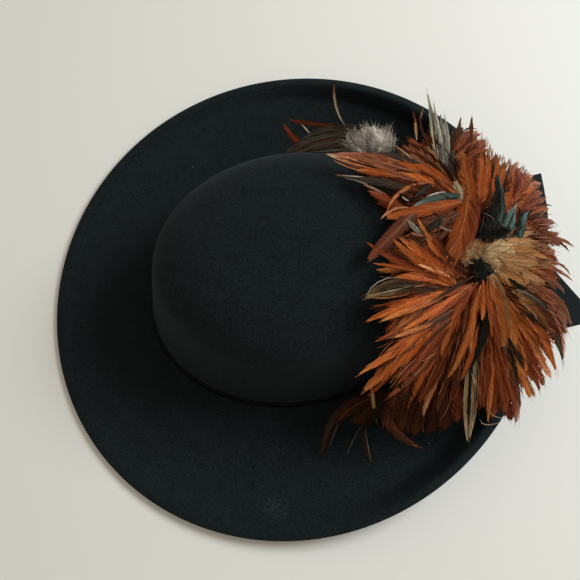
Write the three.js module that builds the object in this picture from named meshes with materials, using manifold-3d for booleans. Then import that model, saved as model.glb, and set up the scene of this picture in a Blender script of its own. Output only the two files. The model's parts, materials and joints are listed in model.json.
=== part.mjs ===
// A wide-brimmed black felt hat. The brim lies flat at the front and turns up at the back, and a big
// spray of feathers and a ribbon bow are sewn to the back of the crown.
// Millimetres, with z up. x runs to the back of the hat, where the feathers are, y to the wearer's right,
// and the hat rests on the flat part of its brim. Until the last lines the origin is the middle of the
// crown at the brim.
import * as THREE from "three";
import { mergeVertices } from "three/addons/utils/BufferGeometryUtils.js";
import Module from "manifold-3d";

// Driving dimensions
const felt = 2.2; // thickness of the felt
const clearance = 0.4; // left between pieces that are sewn onto each other
const ribbonThickness = 1.2;

const crown = {
  halfLength: 103.3,
  halfWidth: 85,
  wallTop: 64, // height where the wall turns into the shoulder
  wallLean: 10.6, // how far the wall leans in by then
  shoulderRise: 35.4,
  shoulderReach: 46,
  dome: 3, // rise of the top within the shoulder
};

const brim = {
  radius: 170.5, // mean reach of the rim from the middle of the crown
  // The rim isn't quite round: each row adds waves that go round it perTurn times.
  waves: [
    { perTurn: 1, cosine: -3.8, sine: 1.9 },
    { perTurn: 2, cosine: -3.6, sine: 1.7 },
    { perTurn: 3, cosine: 0, sine: -1.3 },
  ],
  backLift: 49, // how far the back turns up
  liftSpread: 2.2, // larger keeps the turned-up part nearer the back
  flatPart: 0.25, // share of the brim's width, next to the crown, that stays flat
  liftCurve: 1.7,
  edgeWidth: 9, // the pressed strip along the rim
  edgeRise: 3,
};

const band = { height: 5.5, thickness: 1.1 };

// The middle of the bow, the width of its ribbon at the knot and at the ends, and its tilt.
const bow = {
  x: 154,
  y: -22,
  knotLength: 30,
  knotWidth: 15,
  knotHeight: 7,
  restHeight: 55.4, // of the ribbon's middle where it crosses the rim
  tilt: 0.25, // fall of the ribbon for each millimetre towards the crown
  tails: [
    { name: "bow_upper_tail", side: 1, reach: 55, outerX: 183, innerX: 136, flare: 0.4 },
    { name: "bow_lower_tail", side: -1, reach: 55, outerX: 184, innerX: 138, flare: 1.1 },
  ],
};

// The feathers spread from one root behind the crown, in groups that fill a share of the turn each.
const spray = {
  x: 113,
  y: -14,
  rootTop: 96, // height of the feathers over the root
  bulge: 7, // extra height half way out
  rootDepth: 49,
  tipDepth: 5,
  groupGap: 0.6, // between neighbouring groups
  coreRadius: 3,
  tuftRadius: 34,
};
// How far the feathers reach and how high their tips are, by direction.
const reachTable = [
  { turn: -195, reach: 68, tip: 106 },
  { turn: -180, reach: 76, tip: 105 },
  { turn: -158, reach: 90, tip: 105 },
  { turn: -145, reach: 108, tip: 99 },
  { turn: -133, reach: 116, tip: 72 },
  { turn: -120, reach: 112, tip: 38 },
  { turn: -105, reach: 118, tip: 33 },
  { turn: -88, reach: 112, tip: 49 },
  { turn: -69, reach: 96, tip: 58 },
  { turn: -49, reach: 74, tip: 66 },
  { turn: -31, reach: 66, tip: 70 },
  { turn: -12, reach: 62, tip: 73 },
  { turn: 10, reach: 58, tip: 76 },
  { turn: 30, reach: 60, tip: 79 },
  { turn: 48, reach: 63, tip: 80 },
  { turn: 62, reach: 72, tip: 80 },
  { turn: 78, reach: 92, tip: 77 },
  { turn: 95, reach: 98, tip: 76 },
  { turn: 108, reach: 82, tip: 84 },
  { turn: 122, reach: 76, tip: 94 },
  { turn: 134, reach: 92, tip: 103 },
  { turn: 143, reach: 104, tip: 106 },
  { turn: 153, reach: 84, tip: 107 },
  { turn: 165, reach: 68, tip: 106 },
];
const groups = [
  { name: "feather_burst", from: -195, to: -42, color: 0x8c4620 },
  { name: "feather_fan", from: -42, to: 8, color: 0xb98a58 },
  { name: "feather_dark_tuft", from: 8, to: 58, color: 0x1d2624, outer: spray.tuftRadius },
  { name: "feather_rim_fringe", from: 8, to: 58, color: 0x7a3c20, inner: spray.tuftRadius },
  { name: "feather_crest", from: 58, to: 112, color: 0x8a4524 },
  { name: "feather_spray", from: 112, to: 165, color: 0x93512c },
];

// Feathers that lie apart from the spray, as rows along their length: the middle and the width.
const strayFeathers = [
  {
    name: "feather_wisp",
    color: 0x8f8378,
    rows: [
      { x: 76, y: 36, z: 46, across: 4, deep: 4 },
      { x: 84, y: 56, z: 52, across: 8, deep: 8 },
      { x: 83, y: 72, z: 58, across: 18, deep: 13 },
      { x: 72, y: 82, z: 60, across: 26, deep: 20 },
      { x: 55, y: 86, z: 58, across: 20, deep: 15 },
      { x: 34, y: 89, z: 54, across: 13, deep: 9 },
      { x: 11, y: 92, z: 48, across: 5, deep: 4 },
    ],
  },
  {
    name: "feather_tail",
    color: 0x4a2314,
    rows: [
      { x: 70, y: -56, z: 34, across: 5, deep: 5 },
      { x: 58, y: -74, z: 40, across: 12, deep: 9 },
      { x: 42, y: -89, z: 38, across: 18, deep: 12 },
      { x: 26, y: -95, z: 31, across: 22, deep: 13 },
      { x: 11, y: -100, z: 23, across: 18, deep: 12 },
      { x: 2, y: -109, z: 15, across: 12, deep: 9 },
      { x: -4, y: -119, z: 8, across: 4, deep: 4 },
    ],
  },
];

const turns = 60; // columns of the felt body round the crown

const radians = THREE.MathUtils.degToRad;
const mix = THREE.MathUtils.lerp;
const clamp01 = (value) => THREE.MathUtils.clamp(value, 0, 1);

// Reach of an ellipse at the angle phi.
function ellipseReach(halfX, halfY, phi) {
  return (halfX * halfY) / Math.hypot(halfY * Math.cos(phi), halfX * Math.sin(phi));
}

function crownReach(inset, phi) {
  return ellipseReach(crown.halfLength - inset, crown.halfWidth - inset, phi);
}

function rimReach(phi) {
  return brim.waves.reduce(
    (sum, w) => sum + w.cosine * Math.cos(w.perTurn * phi) + w.sine * Math.sin(w.perTurn * phi),
    brim.radius,
  );
}

// Height of the felt's upper surface on the brim.
function brimTop(reach, phi) {
  const start = crownReach(0, phi);
  const edge = rimReach(phi) - brim.edgeWidth;
  const across = (reach - start) / (edge - start);
  const slope = clamp01((across - brim.flatPart) / (1 - brim.flatPart));
  const lift = brim.backLift * (0.5 + 0.5 * Math.cos(phi)) ** brim.liftSpread;
  const overEdge = Math.max(0, reach - edge) / brim.edgeWidth;
  return felt + lift * slope ** brim.liftCurve + brim.edgeRise * overEdge;
}

// The outer line of the hat from the top of the crown to the rim, at the angle phi, as [reach, height].
function outerLine(phi) {
  const line = [];
  const topHeight = crown.wallTop + crown.shoulderRise;
  const topInset = crown.wallLean + crown.shoulderReach;
  for (const share of [0.36, 0.72]) {
    const height = topHeight + crown.dome * (1 - share ** 2) ** 2;
    line.push([share * crownReach(topInset, phi), height]);
  }
  for (const step of [90, 72, 54, 37, 20, 5]) {
    const angle = radians(step);
    const inset = crown.wallLean + crown.shoulderReach * (1 - Math.cos(angle));
    line.push([crownReach(inset, phi), crown.wallTop + crown.shoulderRise * Math.sin(angle)]);
  }
  for (const share of [0.55, 0.14, 0.03]) {
    line.push([crownReach(crown.wallLean * share, phi), mix(felt, crown.wallTop, share)]);
  }
  const start = crownReach(0, phi);
  line.push([start + 0.5, felt + 0.6]);
  const edge = rimReach(phi) - brim.edgeWidth;
  for (const share of [0.06, 0.3, 0.5, 0.66, 0.8, 0.91, 0.975]) {
    const reach = mix(start, edge, share);
    line.push([reach, brimTop(reach, phi)]);
  }
  for (const share of [0.14, 0.55, 1]) {
    const reach = edge + brim.edgeWidth * share;
    line.push([reach, brimTop(reach, phi)]);
  }
  return line;
}

// The line moved by a distance to its upper or outer side.
function movedLine(line, distance) {
  return line.map(([reach, height], i) => {
    const before = line[Math.max(0, i - 1)];
    const after = line[Math.min(line.length - 1, i + 1)];
    const along = [after[0] - before[0], after[1] - before[1]];
    const length = Math.hypot(...along);
    const up = along[0] / length;
    const out = -along[1] / length;
    return [reach + out * distance, height + up * distance];
  });
}

function meshGeometry(positions, faces) {
  const geometry = new THREE.BufferGeometry();
  geometry.setAttribute("position", new THREE.Float32BufferAttribute(positions.flat(), 3));
  geometry.setIndex(faces.flat());
  return geometry;
}

// A closed surface round the z axis. profile(phi) gives its points from the top of the axis to its foot.
function turnedBody(profile, top, foot) {
  const positions = [[0, 0, top], [0, 0, foot]];
  const faces = [];
  const count = profile(0).length;
  for (let i = 0; i < turns; i++) {
    const phi = (i / turns) * 2 * Math.PI;
    for (const [reach, height] of profile(phi)) {
      positions.push([reach * Math.cos(phi), reach * Math.sin(phi), height]);
    }
  }
  const at = (i, k) => 2 + (i % turns) * count + k;
  for (let i = 0; i < turns; i++) {
    faces.push([0, at(i, 0), at(i + 1, 0)]);
    for (let k = 0; k < count - 1; k++) {
      faces.push([at(i, k), at(i, k + 1), at(i + 1, k + 1)]);
      faces.push([at(i, k), at(i + 1, k + 1), at(i + 1, k)]);
    }
    faces.push([1, at(i + 1, count - 1), at(i, count - 1)]);
  }
  return meshGeometry(positions, faces);
}

function hatBody() {
  const apex = crown.wallTop + crown.shoulderRise + crown.dome;
  const profile = (phi) => {
    const outer = outerLine(phi);
    const inner = movedLine(outer, -felt).reverse();
    const [rimTop, rimUnder] = [outer.at(-1), inner[0]];
    const roundEdge = [(rimTop[0] + rimUnder[0]) / 2 + 0.6, (rimTop[1] + rimUnder[1]) / 2];
    return [...outer, roundEdge, ...inner];
  };
  return turnedBody(profile, apex, apex - felt);
}

// The space that the hat fills, its hollow too, grown by the clearance.
function hatSpace() {
  const apex = crown.wallTop + crown.shoulderRise + crown.dome + clearance;
  const below = -5;
  const profile = (phi) => {
    const outer = movedLine(outerLine(phi), clearance);
    const rim = outer.at(-1)[0] + felt + 2 * clearance;
    return [...outer, [rim, outer.at(-1)[1]], [rim, below]];
  };
  return turnedBody(profile, apex, below);
}

// A ring round the foot of the crown: its section is a flat strip that leans with the wall.
function hatBand() {
  const lean = crown.wallLean / (crown.wallTop - felt);
  const low = felt + 1.9;
  const high = low + band.height;
  const near = clearance + 0.15;
  const corners = [
    [near, high],
    [near, low],
    [near + band.thickness, low],
    [near + band.thickness, high],
  ];
  const positions = [];
  const faces = [];
  for (let i = 0; i < turns; i++) {
    const phi = (i / turns) * 2 * Math.PI;
    for (const [out, height] of corners) {
      const reach = crownReach((height - felt) * lean - out, phi);
      positions.push([reach * Math.cos(phi), reach * Math.sin(phi), height]);
    }
  }
  const at = (i, k) => (i % turns) * 4 + (k % 4);
  for (let i = 0; i < turns; i++) {
    for (let k = 0; k < 4; k++) {
      faces.push([at(i, k), at(i + 1, k), at(i + 1, k + 1)]);
      faces.push([at(i, k), at(i + 1, k + 1), at(i, k + 1)]);
    }
  }
  return meshGeometry(positions, faces);
}

// A closed slab between two grids of points, upper(i, k) over lower(i, k).
// i runs from 0 to columns and k from 0 to rows, so that k across i faces up.
function slab(columns, rows, upper, lower) {
  const positions = [];
  const faces = [];
  for (const surface of [upper, lower]) {
    for (let i = 0; i <= columns; i++) {
      for (let k = 0; k <= rows; k++) {
        positions.push(surface(i, k));
      }
    }
  }
  const half = (columns + 1) * (rows + 1);
  const at = (i, k) => i * (rows + 1) + k;
  for (let i = 0; i < columns; i++) {
    for (let k = 0; k < rows; k++) {
      const [a, b, c, d] = [at(i, k), at(i, k + 1), at(i + 1, k + 1), at(i + 1, k)];
      faces.push([a, b, c], [a, c, d]);
      faces.push([half + a, half + c, half + b], [half + a, half + d, half + c]);
    }
  }
  const wall = (a, b) => faces.push([a, half + a, half + b], [a, half + b, b]);
  for (let i = 0; i < columns; i++) {
    wall(at(i + 1, 0), at(i, 0));
    wall(at(i, rows), at(i + 1, rows));
  }
  for (let k = 0; k < rows; k++) {
    wall(at(0, k), at(0, k + 1));
    wall(at(columns, k + 1), at(columns, k));
  }
  return meshGeometry(positions, faces);
}

// A closed body along a path of rows, with an oval section that stands upright across the path.
function bodyAlong(rows, sides = 10) {
  const positions = [];
  const faces = [];
  rows.forEach((row, i) => {
    const before = rows[Math.max(0, i - 1)];
    const after = rows[Math.min(rows.length - 1, i + 1)];
    const length = Math.hypot(after.x - before.x, after.y - before.y);
    const acrossX = (before.y - after.y) / length;
    const acrossY = (after.x - before.x) / length;
    for (let k = 0; k < sides; k++) {
      const angle = (k / sides) * 2 * Math.PI;
      const across = (row.across / 2) * Math.cos(angle);
      const rise = (row.deep / 2) * Math.sin(angle);
      positions.push([row.x + acrossX * across, row.y + acrossY * across, row.z + rise]);
    }
  });
  const at = (i, k) => i * sides + (k % sides);
  for (let i = 0; i < rows.length - 1; i++) {
    for (let k = 0; k < sides; k++) {
      faces.push([at(i, k), at(i + 1, k + 1), at(i + 1, k)]);
      faces.push([at(i, k), at(i, k + 1), at(i + 1, k + 1)]);
    }
  }
  for (let k = 1; k < sides - 1; k++) {
    const last = rows.length - 1;
    faces.push([at(0, 0), at(0, k + 1), at(0, k)]);
    faces.push([at(last, 0), at(last, k), at(last, k + 1)]);
  }
  return meshGeometry(positions, faces);
}

// Height of the ribbon's middle layer: a tilted plane that rises where the brim would touch it.
function ribbonHeight(x, y) {
  const plane = bow.restHeight - (rimReach(0) - x) * bow.tilt;
  const reach = Math.hypot(x, y);
  const phi = Math.atan2(y, x);
  const onBrim = reach < rimReach(phi) + 1;
  const lowest = onBrim ? brimTop(reach, phi) + clearance + ribbonThickness : 0;
  return Math.max(plane, lowest);
}

// One ribbon end, which spreads from the knot to its cut end.
function bowTail({ side, reach, outerX, innerX, flare }) {
  const start = bow.knotWidth * 0.38 + clearance; // under the rounded side of the knot
  const surface = (i, k, offset) => {
    const along = i / 8;
    const spread = along ** flare;
    const outer = mix(bow.x + bow.knotLength * 0.42, outerX, spread);
    const inner = mix(bow.x - bow.knotLength * 0.42, innerX, spread);
    const x = mix(inner, outer, k / 6);
    const y = bow.y + side * mix(start, reach, along);
    return [x, y, ribbonHeight(x, y) + offset];
  };
  const order = (i) => (side > 0 ? i : 8 - i);
  return slab(
    8,
    6,
    (i, k) => surface(order(i), k, ribbonThickness / 2),
    (i, k) => surface(order(i), k, -ribbonThickness / 2),
  );
}

// The wrapped middle of the bow: a flat loop of ribbon with rounded edges.
function bowKnot() {
  const half = bow.knotLength / 2;
  const rows = [-1, -0.8, 0, 0.8, 1].map((share) => {
    const x = bow.x + half * share;
    const slimmer = Math.abs(share) === 1 ? 0.72 : 1;
    return {
      x,
      y: bow.y,
      z: ribbonHeight(x, bow.y) + bow.knotHeight / 2 - ribbonThickness / 2,
      across: bow.knotWidth * slimmer,
      deep: bow.knotHeight * slimmer,
    };
  });
  return bodyAlong(rows, 14);
}

// Reach and tip height of the feathers in a direction, between the rows of the table.
function tableAt(turn) {
  const wrapped = turn > 165 ? turn - 360 : turn;
  const next = reachTable.findIndex((row) => row.turn >= wrapped);
  if (next < 1) return reachTable[0];
  const [a, b] = [reachTable[next - 1], reachTable[next]];
  const share = (wrapped - a.turn) / (b.turn - a.turn);
  return { reach: mix(a.reach, b.reach, share), tip: mix(a.tip, b.tip, share) };
}

// The outer form of one feather group: a slice of the spray, high at the root and thin at the tips.
function featherGroup({ from, to, inner = 0, outer = Infinity }) {
  const columns = Math.max(5, Math.round((to - from) / 9));
  const rows = 7;
  const point = (i, k, isUpper) => {
    const share = i / columns;
    const turn = radians(mix(from, to, share));
    const { reach, tip } = tableAt(mix(from, to, share));
    const nearEnd = inner ? inner + spray.groupGap : spray.coreRadius;
    const farEnd = Math.min(outer, reach);
    const distance = mix(nearEnd, farEnd, k / rows);
    const out = distance / reach;
    const bulge = spray.bulge * 4 * out * (1 - out);
    const upper = mix(spray.rootTop, tip, out ** 1.5) + bulge;
    const depth = spray.tipDepth + (spray.rootDepth - spray.tipDepth) * (1 - out) ** 1.2;
    // Both edges of the slice step back by half the gap.
    const edgeStep = (spray.groupGap / 2) * (1 - 2 * share);
    const x = spray.x + distance * Math.cos(turn) - edgeStep * Math.sin(turn);
    const y = spray.y + distance * Math.sin(turn) + edgeStep * Math.cos(turn);
    return [x, y, isUpper ? upper : upper - depth];
  };
  return slab(
    columns,
    rows,
    (i, k) => point(i, k, true),
    (i, k) => point(i, k, false),
  );
}

const wasm = await Module();
wasm.setup();

function solidOf(geometry) {
  const merged = mergeVertices(geometry, 1e-4);
  const mesh = new wasm.Mesh({
    numProp: 3,
    vertProperties: merged.attributes.position.array,
    triVerts: new Uint32Array(merged.index.array),
  });
  return new wasm.Manifold(mesh);
}

function geometryOf(solid) {
  const mesh = solid.getMesh();
  const geometry = new THREE.BufferGeometry();
  geometry.setAttribute("position", new THREE.BufferAttribute(mesh.vertProperties, mesh.numProp));
  geometry.setIndex(new THREE.BufferAttribute(mesh.triVerts, 1));
  return geometry;
}

const hatSpaceSolid = solidOf(hatSpace());
const clearOfHat = (geometry) => geometryOf(solidOf(geometry).subtract(hatSpaceSolid));

const black = (roughness) => new THREE.MeshStandardMaterial({ color: 0x17191a, roughness });
const group = new THREE.Group();

function add(name, geometry, material) {
  const mesh = new THREE.Mesh(geometry, material);
  mesh.name = name;
  group.add(mesh);
}

add("hat_body", hatBody(), black(0.95));
add("hat_band", hatBand(), black(0.6));
add("bow_knot", bowKnot(), black(0.7));
for (const tail of bow.tails) {
  add(tail.name, bowTail(tail), black(0.7));
}
for (const feathers of groups) {
  const material = new THREE.MeshStandardMaterial({ color: feathers.color, roughness: 0.6 });
  add(feathers.name, clearOfHat(featherGroup(feathers)), material);
}
for (const feathers of strayFeathers) {
  const material = new THREE.MeshStandardMaterial({ color: feathers.color, roughness: 0.6 });
  add(feathers.name, clearOfHat(bodyAlong(feathers.rows)), material);
}

// The origin moves to the middle of the whole hat's foot.
const box = new THREE.Box3().setFromObject(group);
const centre = box.getCenter(new THREE.Vector3());
group.position.set(-centre.x, -centre.y, -box.min.z);

export default group;
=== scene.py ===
import json
import math

import bpy
import numpy as np
from mathutils import Matrix, Vector
from mathutils.bvhtree import BVHTree

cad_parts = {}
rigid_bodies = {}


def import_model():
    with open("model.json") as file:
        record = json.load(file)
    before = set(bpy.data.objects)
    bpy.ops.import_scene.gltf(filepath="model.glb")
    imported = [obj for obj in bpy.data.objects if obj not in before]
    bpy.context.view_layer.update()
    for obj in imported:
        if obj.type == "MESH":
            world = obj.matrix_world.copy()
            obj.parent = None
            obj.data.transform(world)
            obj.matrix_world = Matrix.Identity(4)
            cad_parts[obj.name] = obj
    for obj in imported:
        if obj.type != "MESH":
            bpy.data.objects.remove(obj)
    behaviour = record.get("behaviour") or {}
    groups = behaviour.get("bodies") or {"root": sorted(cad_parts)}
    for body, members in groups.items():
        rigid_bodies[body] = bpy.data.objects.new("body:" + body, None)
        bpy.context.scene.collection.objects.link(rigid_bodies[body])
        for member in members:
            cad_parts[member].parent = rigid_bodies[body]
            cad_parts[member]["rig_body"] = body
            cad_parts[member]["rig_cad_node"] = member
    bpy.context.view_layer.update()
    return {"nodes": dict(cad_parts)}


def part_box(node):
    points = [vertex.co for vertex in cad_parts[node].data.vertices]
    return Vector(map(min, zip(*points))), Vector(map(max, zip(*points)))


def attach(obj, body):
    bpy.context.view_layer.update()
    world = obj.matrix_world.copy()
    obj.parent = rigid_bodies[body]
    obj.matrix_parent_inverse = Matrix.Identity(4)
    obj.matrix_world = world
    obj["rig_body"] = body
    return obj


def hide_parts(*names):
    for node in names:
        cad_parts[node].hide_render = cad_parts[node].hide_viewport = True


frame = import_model()

mm = 0.001
rootBody = "root"

# The hat's own middle, at the foot of the crown: the tables below count from it, in millimetres.
bandLow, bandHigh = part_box("hat_band")
hatMiddle = Vector(((bandLow.x + bandHigh.x) / 2, (bandLow.y + bandHigh.y) / 2, 0))


# Small helpers

def deselectAll():
    for thing in bpy.context.selected_objects:
        thing.select_set(False)


def pick(thing):
    deselectAll()
    thing.select_set(True)
    bpy.context.view_layer.objects.active = thing


def applyModifiers(thing):
    pick(thing)
    for modifier in list(thing.modifiers):
        bpy.ops.object.modifier_apply(modifier=modifier.name)


def linear(channel):
    return channel / 12.92 if channel <= 0.04045 else ((channel + 0.055) / 1.055) ** 2.4


# An sRGB hex colour such as "#8c4620" as linear red, green, blue and alpha.
def colour(text):
    return tuple(linear(int(text[i:i + 2], 16) / 255) for i in (1, 3, 5)) + (1.0,)


# Adds a node: its settings first, then its inputs, each a value, another node's output, or a node, which
# stands for its first output in use.
def addNode(tree, kind, settings=None, inputs=None):
    made = tree.nodes.new("ShaderNode" + kind)
    for name, value in (settings or {}).items():
        setattr(made, name, value)
    for name, value in (inputs or {}).items():
        if isinstance(value, bpy.types.Node):
            value = next(output for output in value.outputs if output.enabled)
        if isinstance(value, bpy.types.NodeSocket):
            tree.links.new(value, made.inputs[name])
        else:
            made.inputs[name].default_value = value
    return made


def newMaterial(name):
    made = bpy.data.materials.new(name)
    made.use_nodes = True
    made.node_tree.nodes.clear()
    return made, made.node_tree


def finishMaterial(tree, surface):
    addNode(tree, "OutputMaterial", inputs={"Surface": surface})


def wear(thing, material):
    thing.data.materials.clear()
    thing.data.materials.append(material)


# Camera

photoCamera = {
    "place": (-45.7, -154.1, 438.6),  # millimetres from the hat's middle
    "right": (0.9802, -0.1959, 0.0305),
    "up": (0.1736, 0.9224, 0.3449),
    "pictureSide": 580,  # pixels
    "focalLength": 625.6,  # pixels
    "sensor": 36.0,
}


def addCamera():
    look = photoCamera
    right, up = Vector(look["right"]).normalized(), Vector(look["up"]).normalized()
    place = hatMiddle + Vector(look["place"]) * mm
    turn = Matrix((right, up, right.cross(up))).transposed().to_4x4()
    bpy.ops.object.camera_add()
    camera = bpy.context.object
    camera.name = "photo_camera"
    camera.matrix_world = Matrix.Translation(place) @ turn
    camera.data.sensor_width = look["sensor"]
    camera.data.lens = look["sensor"] * look["focalLength"] / look["pictureSide"]
    camera.data.clip_start = 0.01
    bpy.context.scene.camera = camera
    return place, right, up


cameraPlace, cameraRight, cameraUp = addCamera()
cameraForward = cameraUp.cross(cameraRight)
print("camera placed")


# The line of sight through a pixel of the photograph.
def sightLine(pixelX, pixelY):
    half, focal = photoCamera["pictureSide"] / 2, photoCamera["focalLength"]
    across, rise = (pixelX - half) / focal, (half - pixelY) / focal
    return (cameraForward + cameraRight * across + cameraUp * rise).normalized()


# Light and floor

studio = {
    "worldColour": "#fff4e4",
    "worldStrength": 0.44,
    "keySize": 0.7,
    "keyPlace": (0.9, 0.12, 1.0),  # metres from the frame's origin
    "keyColour": (0.86, 0.95, 1.0),
    "keyWatts": 13.5,
    "floorSide": 6.0,
    "floorColour": "#e9e7e1",
    "floorRoughness": 0.9,
    "floorGloss": 0.1,
}


def addStudio():
    world = bpy.data.worlds.new("soft_daylight")
    world.use_nodes = True
    background = world.node_tree.nodes["Background"]
    background.inputs["Color"].default_value = colour(studio["worldColour"])
    background.inputs["Strength"].default_value = studio["worldStrength"]
    bpy.context.scene.world = world

    place = Vector(studio["keyPlace"])
    bpy.ops.object.light_add(type="AREA", location=place)
    key = bpy.context.object
    key.name = "window_light"
    key.rotation_euler = (-place).to_track_quat("-Z", "Y").to_euler()
    key.data.shape = "DISK"
    key.data.size = studio["keySize"]
    key.data.energy = studio["keyWatts"]
    key.data.color = studio["keyColour"]

    bpy.ops.mesh.primitive_plane_add(size=studio["floorSide"])
    floor = bpy.context.object
    floor.name = "pale_floor"
    paint, tree = newMaterial("matt_painted_board")  # an even, pale surface without gloss
    finishMaterial(tree, addNode(tree, "BsdfPrincipled", inputs={
        "Base Color": colour(studio["floorColour"]), "Roughness": studio["floorRoughness"],
        "Specular IOR Level": studio["floorGloss"]}))
    wear(floor, paint)

    bpy.context.scene.view_settings.view_transform = "Standard"


addStudio()
print("light and floor placed")


# Black wool felt: short fibres pressed into a matt, slightly mottled nap that holds lint and dust.
feltLook = {
    "dark": "#0c0f10",
    "light": "#1f2628",
    "roughness": 0.92,
    "gloss": 0.06,
    "sheen": 0.045,
    "sheenColour": "#cfe4ea",
    "patterns": {  # size in millimetres, detail and roughness
        "mottle": (9.0, 4.0, 0.6),
        "nap": (1.1, 3.0, 0.7),
        "fibres": (0.35, 2.0, 0.5),  # coarser than real fibres, which are too fine to show
        "dust": (1.8, 2.0, 0.5),
    },
    "napShare": 0.82,  # of the nap in the felt's tone, beside the mottle
    "toneRange": (0.34, 0.66),  # the part of the pattern that runs from dark to light
    "fibreRelief": 0.5,
    "fibreStrength": 0.55,
    "paintedLightFrom": 75.0,  # millimetres in from the brim's edge, where painted light begins to make the brim paler
    "paintedLightTo": 24.0,
    "paintedLightGain": 1.18,
    "fades": {  # millimetres in from the edge where each begins and is full, and what is there before
        "paintedBandIn": (20.0, 12.0, 0.0),  # painted shade darkens a band on the turned-up brim
        "paintedBandOut": (2.5, 7.5, -0.5),  # inside its lip, which painted light makes paler
        "rise": (17.0, 6.5, 0.0),  # the brim rises a little before its edge
        "fall": (0.0, 6.5, 0.2),
    },
    "rollHeight": 2.6,
    "creaseAt": 7.5,  # a line pressed into the felt along the edge
    "creaseHalf": 2.4,
    "creaseDepth": 0.5,
    # share of the felt's colour that painted shade takes in the crease
    "creasePaintedShade": 0.16,
    "creaseFrom": (0.0, 90.0),  # millimetres behind the hat's middle, where the crease begins to show
    "creaseFront": 0.15,  # share of the crease that is left in front of there
    "turnedUp": 80.0,  # to the right of the middle, where the brim is turned up in full
    "paintedBandShade": 0.7,
    "lintSpacing": 21.0,
    "lintSize": (0.016, 0.026),  # shares of that spacing, from the speck's middle to where it ends
    "lintShare": 0.4,
    "lintChosen": 0.75,  # share of the places that have no speck
    "lintColour": "#9aa3a0",
    "dustPlace": (-41.0, -148.0, 6.0),  # a pale rubbed mark on the brim
    "dustRadius": 10.5,
    "dustRange": (0.42, 0.62),
    "dustShare": 0.85,
    "dustColour": "#3c474c",
}


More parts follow.
